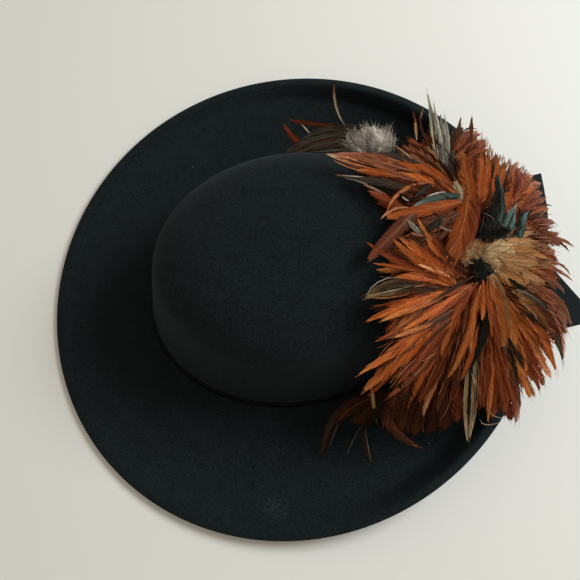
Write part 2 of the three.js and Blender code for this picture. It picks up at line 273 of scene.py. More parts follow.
def woolFelt():
    look = feltLook
    material, tree = newMaterial("wool_felt")
    place = addNode(tree, "TexCoord").outputs["Object"]
    patterns = {}
    for name, (size, detail, roughness) in look["patterns"].items():
        patterns[name] = addNode(tree, "TexNoise", inputs={
            "Vector": place, "Scale": 1 / (size * mm), "Detail": detail, "Roughness": roughness})
    blend = addNode(tree, "Mix", {"data_type": "FLOAT"}, {
        "Factor": look["napShare"], "A": patterns["mottle"], "B": patterns["nap"]})
    low, high = look["toneRange"]
    tone = addNode(tree, "MapRange", inputs={"Value": blend, "From Min": low, "From Max": high})
    felt = addNode(tree, "Mix", {"data_type": "RGBA"}, {
        "Factor": tone, "A": colour(look["dark"]), "B": colour(look["light"])})

    # Painted light makes the brim a little paler towards its edge.
    rim = addNode(tree, "Attribute", {"attribute_name": "rim_distance"}).outputs["Fac"]
    brimPaintedLight = addNode(tree, "MapRange", inputs={
        "Value": rim, "From Min": look["paintedLightFrom"], "From Max": look["paintedLightTo"],
        "To Min": 1.0, "To Max": look["paintedLightGain"]})
    fades = {}
    for name, (start, full, before) in look["fades"].items():
        fades[name] = addNode(tree, "MapRange", {"interpolation_type": "SMOOTHSTEP"}, {
            "Value": rim, "From Min": start, "From Max": full, "To Min": before})

    # The left half has a crease along its edge, deepest at the back; painted shade darkens it.
    axes = addNode(tree, "SeparateXYZ", inputs={"Vector": place})
    rightHalf = addNode(tree, "MapRange", inputs={
        "Value": axes.outputs["X"], "From Min": hatMiddle.x,
        "From Max": hatMiddle.x + look["turnedUp"] * mm})
    leftHalf = addNode(tree, "Math", {"operation": "SUBTRACT"}, {0: 1.0, 1: rightHalf})
    front, back = look["creaseFrom"]
    backHalf = addNode(tree, "MapRange", inputs={
        "Value": axes.outputs["Y"], "From Min": hatMiddle.y + front * mm,
        "From Max": hatMiddle.y + back * mm, "To Min": look["creaseFront"]})
    fromCrease = addNode(tree, "Math", {"operation": "SUBTRACT"}, {0: rim, 1: look["creaseAt"]})
    besideCrease = addNode(tree, "Math", {"operation": "ABSOLUTE"}, {0: fromCrease})
    crease = addNode(tree, "MapRange", {"interpolation_type": "SMOOTHSTEP"}, {
        "Value": besideCrease, "From Min": look["creaseHalf"], "From Max": 0.0})
    creaseBack = addNode(tree, "Math", {"operation": "MULTIPLY"}, {0: crease, 1: backHalf})
    creasePaintedShade = addNode(tree, "Math", {"operation": "MULTIPLY"}, {0: creaseBack, 1: look["creasePaintedShade"]})

    # The right half turns up: painted shade darkens a band on it, and painted light makes its lip paler.
    band = addNode(tree, "Math", {"operation": "MULTIPLY"}, {0: fades["paintedBandIn"], 1: fades["paintedBandOut"]})
    paintedBandShade = addNode(tree, "Math", {"operation": "MULTIPLY"}, {0: band, 1: look["paintedBandShade"]})
    # Painted shade of the crease and the band, and the brim's painted light, scale the felt's colour.
    shade = addNode(tree, "Mix", {"data_type": "FLOAT"}, {
        "Factor": rightHalf, "A": creasePaintedShade, "B": paintedBandShade})
    unshaded = addNode(tree, "Math", {"operation": "SUBTRACT"}, {0: 1.0, 1: shade})
    gain = addNode(tree, "Math", {"operation": "MULTIPLY"}, {0: brimPaintedLight, 1: unshaded})
    paintedLightFelt = addNode(tree, "VectorMath", {"operation": "SCALE"}, {0: felt, "Scale": gain})

    # The dusty mark fades out from its middle, broken up by the nap.
    middle = hatMiddle + Vector(look["dustPlace"]) * mm
    away = addNode(tree, "VectorMath", {"operation": "DISTANCE"}, {0: place, 1: middle})
    fade = addNode(tree, "MapRange", inputs={
        "Value": away, "From Min": 0.0, "From Max": look["dustRadius"] * mm,
        "To Min": look["dustShare"], "To Max": 0.0})
    low, high = look["dustRange"]
    patched = addNode(tree, "MapRange", inputs={
        "Value": patterns["dust"], "From Min": low, "From Max": high})
    faded = addNode(tree, "Math", {"operation": "MULTIPLY"}, {0: fade, 1: patched})
    dust = addNode(tree, "Math", {"operation": "MULTIPLY"}, {0: faded, 1: tone})
    dusty = addNode(tree, "Mix", {"data_type": "RGBA"}, {
        "Factor": dust, "A": paintedLightFelt, "B": colour(look["dustColour"])})

    # A few specks of lint: a small dot in some cells of a coarse pattern.
    cells = addNode(tree, "TexVoronoi", inputs={
        "Vector": place, "Scale": 1 / (look["lintSpacing"] * mm)})
    inner, outer = look["lintSize"]
    speck = addNode(tree, "MapRange", inputs={
        "Value": cells, "From Min": inner, "From Max": outer, "To Min": look["lintShare"], "To Max": 0.0})
    some = addNode(tree, "SeparateColor", inputs={"Color": cells.outputs["Color"]})
    chosen = addNode(tree, "Math", {"operation": "GREATER_THAN"}, {
        0: some.outputs["Red"], 1: look["lintChosen"]})
    lint = addNode(tree, "Math", {"operation": "MULTIPLY"}, {0: speck, 1: chosen})
    linted = addNode(tree, "Mix", {"data_type": "RGBA"}, {
        "Factor": lint, "A": dusty, "B": colour(look["lintColour"])})

    # The roll of the brim's edge and its crease, in millimetres, under the nap.
    roll = addNode(tree, "Math", {"operation": "MULTIPLY"}, {0: fades["rise"], 1: fades["fall"]})
    rollHeight = addNode(tree, "Math", {"operation": "MULTIPLY"}, {0: roll, 1: look["rollHeight"]})
    creaseHere = addNode(tree, "Math", {"operation": "MULTIPLY"}, {0: creaseBack, 1: leftHalf})
    edgeHeight = addNode(tree, "Math", {"operation": "MULTIPLY_ADD"}, {
        0: creaseHere, 1: -look["creaseDepth"], 2: rollHeight})
    edgeBump = addNode(tree, "Bump", inputs={"Height": edgeHeight, "Strength": 1.0, "Distance": mm})
    height = addNode(tree, "Mix", {"data_type": "FLOAT"}, {
        "Factor": 0.5, "A": patterns["nap"], "B": patterns["fibres"]})
    bump = addNode(tree, "Bump", inputs={
        "Height": height, "Strength": look["fibreStrength"], "Distance": look["fibreRelief"] * mm,
        "Normal": edgeBump})
    finishMaterial(tree, addNode(tree, "BsdfPrincipled", inputs={
        "Base Color": linted, "Roughness": look["roughness"], "Specular IOR Level": look["gloss"],
        "Sheen Weight": look["sheen"], "Sheen Roughness": 0.5, "Sheen Tint": colour(look["sheenColour"]),
        "Normal": bump}))
    return material


# Gives each corner of the hat its distance in from the brim's outline, seen from above, in millimetres.
def markRim(hat):
    corners = np.empty(len(hat.data.vertices) * 3)
    hat.data.vertices.foreach_get("co", corners)
    flat = (corners.reshape(-1, 3)[:, :2] - np.array(hatMiddle)[:2]) / mm
    angles, reaches = np.arctan2(flat[:, 1], flat[:, 0]), np.hypot(flat[:, 0], flat[:, 1])
    sectors = 72
    sector = ((angles + math.pi) / (2 * math.pi) * sectors).astype(int) % sectors
    outline = np.zeros(sectors)
    np.maximum.at(outline, sector, reaches)
    middles = (np.arange(sectors) + 0.5) / sectors * 2 * math.pi - math.pi
    rim = np.interp(angles, middles, outline, period=2 * math.pi) - reaches
    hat.data.attributes.new("rim_distance", "FLOAT", "POINT").data.foreach_set("value", rim)


weldDistance = 0.02  # millimetres, below which two corners are one


# A copy of a CAD node as a piece of its own, with its loose triangles joined.
def looseCopy(node, name):
    source = frame["nodes"][node]
    copy = source.copy()
    copy.data = source.data.copy()
    copy.name = name
    copy.parent = None
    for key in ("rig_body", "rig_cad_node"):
        del copy[key]
    bpy.context.scene.collection.objects.link(copy)
    pick(copy)
    bpy.ops.object.mode_set(mode="EDIT")
    bpy.ops.mesh.select_all(action="SELECT")
    bpy.ops.mesh.remove_doubles(threshold=weldDistance * mm)
    bpy.ops.mesh.tris_convert_to_quads()
    bpy.ops.object.mode_set(mode="OBJECT")
    return copy


def smoothCopy(node, name, levels):
    copy = looseCopy(node, name)
    smooth = copy.modifiers.new("smooth", "SUBSURF")
    smooth.levels = smooth.render_levels = levels
    applyModifiers(copy)
    bpy.ops.object.shade_smooth()
    return copy


hatBody = smoothCopy("hat_body", "felt_hat", 2)
markRim(hatBody)
wear(hatBody, woolFelt())
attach(hatBody, rootBody)
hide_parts("hat_body")
print("felt hat shaped")


# Grosgrain ribbon: a close black weave with fine ribs across its length, and a low sheen. The narrow
# band round the crown is a black ribbon made blacker than the bow with painted shade, for the shadow at the
# crown's foot.
bowLook = {
    "dark": "#0e1214",
    "light": "#1f282b",
    "sheen": 0.02,
}
bandPaintedShadeLook = {
    "dark": "#030404",
    "light": "#080909",
    "sheen": 0.0,
}
weaveLook = {
    "ribSpacing": 0.9,  # millimetres, a little coarser than real so that it shows
    "threadSize": 0.4,
    "threadShare": 0.4,
    "relief": 0.3,
    "roughness": 0.55,
    "gloss": 0.15,
}


def grosgrain(name, look):
    weave = weaveLook
    material, tree = newMaterial(name)
    place = addNode(tree, "TexCoord").outputs["Object"]
    ribs = addNode(tree, "TexWave", {"wave_type": "BANDS", "bands_direction": "Y"}, {
        "Vector": place, "Scale": 2 * math.pi / (20 * weave["ribSpacing"] * mm),
        "Distortion": 0.4, "Detail": 1.0, "Detail Scale": 2.0})
    threads = addNode(tree, "TexNoise", inputs={
        "Vector": place, "Scale": 1 / (weave["threadSize"] * mm), "Detail": 2.0})
    tone = addNode(tree, "Mix", {"data_type": "FLOAT"}, {
        "Factor": weave["threadShare"], "A": ribs.outputs["Fac"], "B": threads})
    woven = addNode(tree, "Mix", {"data_type": "RGBA"}, {
        "Factor": tone, "A": colour(look["dark"]), "B": colour(look["light"])})
    bump = addNode(tree, "Bump", inputs={
        "Height": tone, "Strength": 0.7, "Distance": weave["relief"] * mm})
    finishMaterial(tree, addNode(tree, "BsdfPrincipled", inputs={
        "Base Color": woven, "Roughness": weave["roughness"], "Specular IOR Level": weave["gloss"],
        "Sheen Weight": look["sheen"], "Normal": bump}))
    return material


wear(frame["nodes"]["hat_band"], grosgrain("band_grosgrain_painted_shade", bandPaintedShadeLook))
bowRibbon = grosgrain("bow_grosgrain", bowLook)
bowKnot = smoothCopy("bow_knot", "ribbon_knot", 2)
wear(bowKnot, bowRibbon)
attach(bowKnot, rootBody)
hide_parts("bow_knot")

# The bow's two ends are single layers of ribbon, cut from the upper face of their CAD nodes. flat is the
# width and length of the cloth that each is cut from, and area what is left of it, in metres.
ribbonEnds = {
    "thickness": 0.6,  # millimetres
    "flute": 0.35,  # height of the soft waves across the cloth
    "waves": 2.0,
    "upperFace": 0.4,  # a face whose normal rises more than this belongs to the upper side
    "smoothAngle": 40,  # degrees
    "bow_upper_tail": {"name": "ribbon_upper_end", "flat": (0.048, 0.052), "area": 0.0020},
    "bow_lower_tail": {"name": "ribbon_lower_end", "flat": (0.048, 0.052), "area": 0.0018},
}


def ribbonEnd(node):
    look, sizes = ribbonEnds, ribbonEnds[node]
    piece = looseCopy(node, sizes["name"])
    for part in (*piece.data.vertices, *piece.data.edges, *piece.data.polygons):
        part.select = False
    for face in piece.data.polygons:
        face.select = face.normal.z < look["upperFace"]
    bpy.ops.object.mode_set(mode="EDIT")
    bpy.ops.mesh.select_mode(type="FACE")
    bpy.ops.mesh.delete(type="FACE")
    bpy.ops.object.mode_set(mode="OBJECT")
    finer = piece.modifiers.new("finer", "SUBSURF")
    finer.subdivision_type = "SIMPLE"
    finer.levels = finer.render_levels = 2
    applyModifiers(piece)
    low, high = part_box(node)
    for corner in piece.data.vertices:
        across = (corner.co.x - low.x) / (high.x - low.x)
        corner.co.z -= look["flute"] * mm * (1 + math.sin(2 * math.pi * look["waves"] * across)) / 2
    cloth = piece.modifiers.new("cloth", "SOLIDIFY")
    cloth.thickness = look["thickness"] * mm
    cloth.offset = -1
    applyModifiers(piece)
    bpy.ops.object.shade_smooth_by_angle(angle=math.radians(look["smoothAngle"]))
    wear(piece, bowRibbon)
    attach(piece, rootBody)
    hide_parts(node)


for node in ("bow_upper_tail", "bow_lower_tail"):
    ribbonEnd(node)
print("bow and band made of ribbon")


# Feathers
# Each group is one mesh of many small feathers. A feather is copied from a few shapes, which lie flat
# along y from 0 at the root to 1 at the tip, with x and z in half widths.

# Half width of the vane along a feather, as shares of its length and of its widest place.
vaneOutlines = {
    "lance": ((0, 0.3), (0.12, 0.6), (0.32, 0.92), (0.48, 1.0), (0.66, 0.82), (0.84, 0.46), (1, 0.04)),
    "broad": ((0, 0.3), (0.15, 0.65), (0.4, 0.95), (0.6, 1.0), (0.78, 0.84), (0.9, 0.54), (1, 0.06)),
    "silk": ((0, 0.5), (0.15, 0.82), (0.4, 1.0), (0.65, 0.95), (0.85, 0.62), (0.95, 0.3), (1, 0.04)),
    "point": ((0, 0.4), (0.15, 0.78), (0.36, 1.0), (0.55, 0.84), (0.75, 0.5), (0.9, 0.2), (1, 0.02)),
    "slim": ((0, 0.5), (0.2, 0.85), (0.5, 1.0), (0.75, 0.75), (0.9, 0.4), (1, 0.02)),
    "strap": ((0, 0.9), (0.2, 0.96), (0.5, 1.0), (0.72, 0.86), (0.88, 0.5), (1, 0.05)),
}

# How a vane is built, in the same shares: its web, the locks of barbs along its edges and the loose barbs.
vaneBuild = {
    "webLength": 0.96,
    "webCup": 0.16,  # how far the web's edges bend down
    "webUneven": (0.92, 1.05),
    "lockFrom": -0.03,
    "lockSpan": 0.84,
    "lockLength": (0.15, 0.3),
    "lockPastTip": (-0.02, 0.05),
    "lockAcross": (0.25, 0.72, 0.85),  # where its root, middle and end lie between quill and edge
    "lockLeast": 0.1,
    "lockHeights": (0.02, -0.06),
    "lockWidths": (0.3, 0.42, 0.02),
    "lockDrop": (-0.35, 0.0),
    "lockShade": (0.15, 0.95),
    "barbFrom": (0.05, 0.8),
    "barbLength": (0.15, 0.35),
    "barbPastTip": 1.06,
    "barbRoot": (0.2, 0.7),
    "barbMiddle": 0.85,
    "barbLeast": 0.15,
    "barbHeights": (0.03, 0.04),
    "barbWidths": (0.07, 0.07, 0.02),
    "barbDrop": (-0.2, 0.2),
    "barbShade": (0.3, 1.1),
    "quillPlaces": (0, 0.3, 0.6, 0.95),
    "quillHeight": 0.05,
    "quillWidths": (0.12, 0.1, 0.07, 0.02),
}


def halfWidthAt(outline, share):
    shares, widths = zip(*vaneOutlines[outline])
    return float(np.interp(share, shares, widths))


def setAttribute(thing, name, value):
    attribute = thing.data.attributes.new(name, "FLOAT", "POINT")
    attribute.data.foreach_set("value", [value] * len(thing.data.vertices))


# A thin strip of a few faces along some points, with its own shade of colour.
def addStrip(points, widths, shade, quill=0.0):
    bpy.ops.mesh.primitive_grid_add(x_subdivisions=1, y_subdivisions=len(points) - 1, size=1)
    strip = bpy.context.object
    for k, (point, width) in enumerate(zip(points, widths)):
        for side in (0, 1):
            strip.data.vertices[2 * k + side].co = Vector(point) + Vector((width * (side - 0.5), 0, 0))
    setAttribute(strip, "shade", shade)
    setAttribute(strip, "quill", quill)
    return strip


# The shape of one feather: its web, locks of barbs that end in points along its edges, thin loose barbs
# and the quill on top. fill is the share of the width that the web takes.
def featherShape(outline, rows, locks, barbs, fray, seed, fill=0.72):
    random = np.random.default_rng(seed)
    build = vaneBuild
    bpy.ops.mesh.primitive_grid_add(x_subdivisions=2, y_subdivisions=rows, size=2)
    web = bpy.context.object
    for corner in web.data.vertices:
        share = build["webLength"] * (corner.co.y + 1) / 2
        edge = fill * halfWidthAt(outline, share) * random.uniform(*build["webUneven"])
        corner.co = Vector((corner.co.x * edge, share, -build["webCup"] * corner.co.x ** 2))
    setAttribute(web, "shade", 0.5)
    setAttribute(web, "quill", 0.0)
    pieces = [web]
    lockInner, lockMiddle, lockOuter = build["lockAcross"]
    rootWidth, middleWidth, endWidth = build["lockWidths"]
    lockLow, lockHigh = build["lockHeights"]
    barbLow, barbHigh = build["barbHeights"]
    for side in (-1, 1):
        for k in range(locks):
            start = build["lockFrom"] + build["lockSpan"] * (k + random.uniform(0.1, 0.9)) / locks
            end = start + random.uniform(*build["lockLength"])
            end = min(end, 1 + random.uniform(*build["lockPastTip"]))
            middle = (start + end) / 2
            inner = side * lockInner * halfWidthAt(outline, start)
            between = side * lockMiddle * halfWidthAt(outline, middle)
            reach = halfWidthAt(outline, min(end, 1)) * random.uniform(lockOuter, 1 + fray)
            outer = side * max(reach, build["lockLeast"])
            drop = random.uniform(*build["lockDrop"])
            points = [(inner, start, lockLow), (between, middle, lockHigh), (outer, end, drop)]
            widths = (rootWidth * halfWidthAt(outline, start),
                      middleWidth * halfWidthAt(outline, middle), endWidth)
            pieces.append(addStrip(points, widths, random.uniform(*build["lockShade"])))
        for k in range(barbs):
            start = random.uniform(*build["barbFrom"])
            end = min(start + random.uniform(*build["barbLength"]), build["barbPastTip"])
            middle = (start + end) / 2
            inner = side * random.uniform(*build["barbRoot"]) * halfWidthAt(outline, start)
            between = side * build["barbMiddle"] * halfWidthAt(outline, middle)
            reach = max(halfWidthAt(outline, min(end, 1)), build["barbLeast"])
            outer = side * reach * random.uniform(1.0, 1.1 + fray)
            drop = random.uniform(*build["barbDrop"])
            points = [(inner, start, barbLow), (between, middle, barbHigh), (outer, end, drop)]
            pieces.append(addStrip(points, build["barbWidths"], random.uniform(*build["barbShade"])))
    quillPoints = [(0, share, build["quillHeight"]) for share in build["quillPlaces"]]
    pieces.append(addStrip(quillPoints, build["quillWidths"], 0.5, 1.0))
    return joinedShape(pieces)


# One loose barb or a bare quill, which tapers to both ends.
def strandShape():
    points = [(0, share, 0) for share in (0, 0.25, 0.5, 0.75, 1)]
    return joinedShape([addStrip(points, (0.7, 1.7, 2.0, 1.3, 0.2), 0.5)])


# Joins the pieces and returns the shape as arrays, with the scratch object removed.
def joinedShape(pieces):
    deselectAll()
    for piece in pieces:
        piece.select_set(True)
    bpy.context.view_layer.objects.active = pieces[0]
    if len(pieces) > 1:
        bpy.ops.object.join()
    made = bpy.context.view_layer.objects.active
    mesh = made.data
    count = len(mesh.vertices)
    places = np.empty(count * 3)
    mesh.vertices.foreach_get("co", places)
    shades, quills = np.empty(count), np.empty(count)
    mesh.attributes["shade"].data.foreach_get("value", shades)
    mesh.attributes["quill"].data.foreach_get("value", quills)
    faces = [tuple(face.vertices) for face in mesh.polygons]
    bpy.data.objects.remove(made)
    return {"places": places.reshape(-1, 3), "shades": shades, "quills": quills, "faces": faces}


# Forms of feather, each with a few shapes: outline, rows of faces, locks, barbs, fray and the seeds.
shapes = {
    "lance": [featherShape("lance", 6, 7, 4, 0.25, seed) for seed in (1, 2, 3, 4)],
    "broad": [featherShape("broad", 6, 7, 4, 0.2, seed) for seed in (5, 6, 7, 8)],
    "silk": [featherShape("silk", 8, 4, 3, 0.1, seed, 0.93) for seed in (20, 21, 22, 23)],
    "spear": [featherShape("point", 8, 5, 4, 0.08, seed, 0.9) for seed in (29, 30)],
    "strap": [featherShape("strap", 10, 7, 5, 0.1, seed, 0.9) for seed in (24, 25)],
    "slim": [featherShape("slim", 5, 4, 2, 0.3, seed) for seed in (9, 10, 11)],
    "frayed": [featherShape("broad", 5, 9, 7, 0.7, seed) for seed in (12, 13)],
    "down": [featherShape("broad", 4, 8, 12, 0.8, seed, 0.8) for seed in (26, 27, 28)],
    "under": [featherShape("lance", 4, 5, 1, 0.25, seed) for seed in (14, 15, 16)],
    "strand": [strandShape()],
}
print("feather shapes made")

# How strongly the fine barbs show on a form, as a share of the pattern's own contrast.
barbContrast = {"lance": 0.9, "broad": 0.9, "silk": 0.7, "spear": 0.7, "strap": 0.7, "slim": 0.6,
                "frayed": 0.9, "down": 0.4, "under": 1.0, "strand": 0.3}

# Colours of the feathers: at the root, along the middle, at the tip, at the edge, beside the quill and of
# the quill itself, then the share of the width that the colour beside the quill takes.
plumeColours = {
    "orange": ("#4b210c", "#9d4b21", "#b2622e", "#853c1c", "#a55329", "#c28258", 0.25),
    "bright": ("#6b2d0d", "#ab5222", "#c47642", "#984619", "#ac5a2c", "#d48f62", 0.25),
    "rust": ("#33140a", "#7b361c", "#8f4727", "#5f2713", "#7d3c21", "#9b6444", 0.25),
    "amber": ("#5d290f", "#ae5c28", "#c67c44", "#954c20", "#a85f30", "#d89e6c", 0.25),
    "brown": ("#1c0e09", "#4b2313", "#5f321c", "#34180d", "#462315", "#7b533d", 0.3),
    "plum": ("#26110b", "#592d1b", "#753e29", "#3f1e12", "#653421", "#8d5e48", 0.3),
    "rimmed": ("#24180f", "#35261a", "#826747", "#5c4631", "#20160f", "#6b5a44", 0.4),
    "peach": ("#6b321c", "#bb6d44", "#dea179", "#b26942", "#ca8256", "#efbb94", 0.25),
    "blush": ("#5a2c1c", "#935036", "#c89076", "#a46a50", "#86482e", "#c99a80", 0.2),
    "striped": ("#2a1e16", "#a14d23", "#c27340", "#ae5a2a", "#342720", "#a18470", 0.4),
    "gold": ("#b8986c", "#aa7a4c", "#985f41", "#8c6040", "#b48a5c", "#c9a079", 0.4),
    "tan": ("#6e4426", "#a96e42", "#b98257", "#94602f", "#b3804f", "#d1a37a", 0.3),
    "cream": ("#4a3a2a", "#b8a07a", "#d4ba90", "#c8ae84", "#8f7a5c", "#4a4032", 0.3),
    "silver": ("#3c322c", "#9a9886", "#bdb8a0", "#b4ae96", "#77776a", "#4c4c44", 0.35),
    "black": ("#11110f", "#1c1c19", "#222421", "#161614", "#181815", "#2e2e2a", 0.3),
    # teal: black feathers whose green sheen is painted into their colour
    "teal": ("#161b1a", "#3d4f4b", "#8ea79d", "#46574f", "#5c726b", "#7e9a92", 0.5),
    "olive": ("#3a342b", "#4a4439", "#5c5548", "#3a342b", "#443e34", "#7d7466", 0.3),
    "grey": ("#857a6e", "#a79d91", "#c4b9ac", "#b3a99d", "#8d8378", "#cdbfae", 0.2),
    "down": ("#93897e", "#a2988d", "#8d8378", "#958b80", "#978d82", "#b3a99d", 0.2),
    "mouse": ("#4c4139", "#5e5148", "#75655a", "#4a4039", "#54483f", "#8b7a6c", 0.3),
}

hackleLook = {
    "roughness": 0.4,
    "gloss": 0.09,
    "glossColour": "#ecc8a8",
    "barbStretch": (0.5, 0.16, 1.0),  # per millimetre along, across and through, coarser than real barbs
    "barbRange": (0.33, 0.67),  # the part of the pattern that runs from dark to light
    "barbShades": (0.5, 1.5),
    "barbRelief": 0.2,  # millimetres
    "barbStrength": 0.3,
}


# Hackle feather: a keratin vane of silky barbs that lie along the feather and shine along their length.
def hackle():
    look = hackleLook
    material, tree = newMaterial("dyed_hackle_feather")
    plume = addNode(tree, "Attribute", {"attribute_name": "plume_colour"})
    barbs = addNode(tree, "UVMap", {"uv_map": "barb_map"})
    stretched = addNode(tree, "Mapping", inputs={"Vector": barbs, "Scale": look["barbStretch"]})
    grain = addNode(tree, "TexNoise", inputs={
        "Vector": stretched, "Scale": 1.0, "Detail": 4.0, "Roughness": 0.7})
    low, high = look["barbRange"]
    dark, light = look["barbShades"]
    shades = addNode(tree, "MapRange", inputs={
        "Value": grain, "From Min": low, "From Max": high, "To Min": dark, "To Max": light})
    # The colour's alpha holds how strongly the barbs show.
    shown = addNode(tree, "Mix", {"data_type": "FLOAT"}, {
        "Factor": plume.outputs["Alpha"], "A": 1.0, "B": shades})
    shaded = addNode(tree, "VectorMath", {"operation": "SCALE"}, {
        0: plume.outputs["Color"], "Scale": shown})
    bump = addNode(tree, "Bump", inputs={
        "Height": grain, "Strength": look["barbStrength"], "Distance": look["barbRelief"] * mm})
    finishMaterial(tree, addNode(tree, "BsdfPrincipled", inputs={
        "Base Color": shaded, "Roughness": look["roughness"], "Specular IOR Level": look["gloss"],
        "Specular Tint": colour(look["glossColour"]), "Normal": bump}))
    return material


hackleFinish = hackle()


# How the colours lie on a vane, in shares of its length and half width, and how far they differ.
paintLook = {
    "middleFrom": 0.35,
    "tipFrom": 0.5,
    "edgeFrom": 0.4,
    "edgeOver": 0.5,
    "edgeShare": 0.8,
    "besideTo": 0.95,
    "besideFade": 0.2,
    "darkest": 0.7,  # of a strip with the shade 0
    "shadeRange": 0.6,
    "tilt": 0.22,
    "patches": (0.88, 1.12),
    "feathers": (0.85, 1.18),
    "quillShare": 0.6,
}


# Colour of each corner of one feather, in linear light.
def plumeColour(kind, shape, random, gain):
    look = paintLook
    *hexes, nearShare = plumeColours[kind]
    root, middle, tip, edge, beside, quillColour = (np.array(colour(text)[:3]) for text in hexes)
    along = shape["places"][:, 1:2].clip(0, 1)
    across = np.abs(shape["places"][:, 0:1])
    body = np.where(along < look["tipFrom"],
                    root + (middle - root) * np.clip(along / look["middleFrom"], 0, 1),
                    middle + (tip - middle) * np.clip(along - look["tipFrom"], 0, 1) * 2)
    toEdge = np.clip((across - look["edgeFrom"]) / look["edgeOver"], 0, 1)
    body = body + (edge - body) * toEdge * look["edgeShare"]
    beforeTip = np.clip((look["besideTo"] - along) / look["besideFade"], 0, 1)
    body = body + (beside - body) * (np.clip(1 - across / nearShare, 0, 1) * beforeTip)
    # One half of a vane is often turned from the light, and small patches differ.
    tilt = 1 + np.sign(shape["places"][:, 0:1]) * random.uniform(-look["tilt"], look["tilt"])
    patches = random.uniform(*look["patches"], (len(along), 1))
    shades = look["darkest"] + look["shadeRange"] * shape["shades"][:, None]
    body = body * shades * tilt * patches * random.uniform(*look["feathers"]) * gain
    quill = shape["quills"][:, None]
    return body * (1 - quill * look["quillShare"]) + quillColour * quill * look["quillShare"] * gain


# Bends a shape along a curve from root to tip with one control point between them. up is the side that
# the vane's upper face turns to, roll and twist turn it round the quill. Returns the places and where
# each is on the barbs, in millimetres.
def bentFeather(shape, root, control, tip, halfWidth, roll, twist, up):
    s = shape["places"][:, 1:2]
    spine = (1 - s) ** 2 * root + 2 * (1 - s) * s * control + s ** 2 * tip
    heading = 2 * (1 - s) * (control - root) + 2 * s * (tip - control)
    heading /= np.linalg.norm(heading, axis=1, keepdims=True) + 1e-12
    across = np.cross(heading, up)
    across /= np.linalg.norm(across, axis=1, keepdims=True) + 1e-12
    over = np.cross(across, heading)
    turn = roll + twist * s
    acrossTurned = across * np.cos(turn) + over * np.sin(turn)
    overTurned = over * np.cos(turn) - across * np.sin(turn)
    x, z = shape["places"][:, 0:1], shape["places"][:, 2:3]
    length = np.linalg.norm(tip - root)
    barbSlant = 4.5  # how far back the barbs start, in distances from the quill
    barbs = np.hstack([s * length - np.abs(x) * halfWidth * barbSlant, x * halfWidth])
    return spine + acrossTurned * x * halfWidth + overTurned * z * halfWidth, barbs


# Collects feathers, in millimetres from the hat's middle, and turns them into one mesh.
class Plumage:
    def __init__(self, seed):
        self.random = np.random.default_rng(seed)
        self.places, self.colours, self.faces, self.barbs = [], [], [], []
        self.count = 0

    def add(self, form, kind, root, control, tip, halfWidth, up, roll=0.0, twist=0.0, gain=1.0):
        shape = shapes[form][self.random.integers(len(shapes[form]))]
        places, barbs = bentFeather(shape, root, control, tip, halfWidth, roll, twist, up)
        self.places.append(places)
        paint = plumeColour(kind, shape, self.random, gain)
        self.colours.append(np.hstack([paint, np.full((len(paint), 1), barbContrast[form])]))
        self.faces.extend(tuple(corner + self.count for corner in face) for face in shape["faces"])
        self.barbs.append(barbs + self.random.uniform(0, 500, 2))
        self.count += len(places)

    def build(self, name, node, slotName):
        places = np.concatenate(self.places) * mm + np.array(hatMiddle)
        mesh = bpy.data.meshes.new(name)
        mesh.from_pydata(places.tolist(), [], self.faces)
        paint = mesh.attributes.new("plume_colour", "FLOAT_COLOR", "POINT")
        paint.data.foreach_set("color", np.concatenate(self.colours).ravel())
        corners = np.empty(len(mesh.loops), dtype=int)
        mesh.loops.foreach_get("vertex_index", corners)
        barbMap = mesh.uv_layers.new(name="barb_map")
        barbMap.data.foreach_set("uv", np.concatenate(self.barbs)[corners].ravel())
        mesh.shade_smooth()
        piece = bpy.data.objects.new(name, mesh)
        bpy.context.scene.collection.objects.link(piece)
        wear(piece, hackleFinish)
        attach(piece, rootBody)
        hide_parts(node)
        print(name, len(self.places), "feathers", sum(len(f) - 2 for f in self.faces), "triangles")


# The CAD's feather groups as one surface, which the lines of sight meet.
def surfaceOf(names):
    corners, faces = [], []
    for name in names:
        thing = frame["nodes"][name]
        first = len(corners)
        corners.extend(thing.matrix_world @ corner.co for corner in thing.data.vertices)
        faces.extend([first + k for k in face.vertices] for face in thing.data.polygons)
    return BVHTree.FromPolygons(corners, faces)


featherSurface = surfaceOf([name for name in frame["nodes"] if name.startswith("feather_")
                            and name not in ("feather_wisp", "feather_tail")])
cameraFromMiddle = np.array((cameraPlace - hatMiddle) / mm)
searchSteps = [step * 3 * mm for step in range(90, 200)]  # distances from the camera, past the whole hat


# The point of a surface that a pixel of the photograph shows, lifted towards the camera, in millimetres
# from the hat's middle. Where the line of sight passes beside the surface, its nearest place is taken.
def seenPoint(pixel, surface, lift):
    line = sightLine(*pixel)
    hit, _, _, distance = surface.ray_cast(cameraPlace, line)
    if hit is None:
        distance = min(searchSteps, key=lambda reach: surface.find_nearest(cameraPlace + line * reach)[3])
    return np.array((cameraPlace + line * (distance - lift * mm) - hatMiddle) / mm)


# Half of a width in pixels, in millimetres at a point.
def halfWidthThere(wide, point):
    return wide / 2 * (np.linalg.norm(point - cameraFromMiddle) / photoCamera["focalLength"])


# The control point of the curve whose middle is at a given point.
def controlPoint(root, middle, tip):
    return 2 * middle - (root + tip) / 2


# Painted shade makes the feathers low on the burst darker, most of all between two sides, all in the
# photograph's pixels.
lowPaintedShade = {
    "heights": (365, 430),
    "shares": (1.0, 0.55),
    "sides": (380, 525),
    "beside": 0.4,
    "overall": 1.06,
}


def paintedShadeGain(pixelX, pixelY):
    low = np.interp(pixelY, lowPaintedShade["heights"], lowPaintedShade["shares"])
    left, right = lowPaintedShade["sides"]
    share = low if left < pixelX < right else 1 - (1 - low) * lowPaintedShade["beside"]
    return float(share) * lowPaintedShade["overall"]


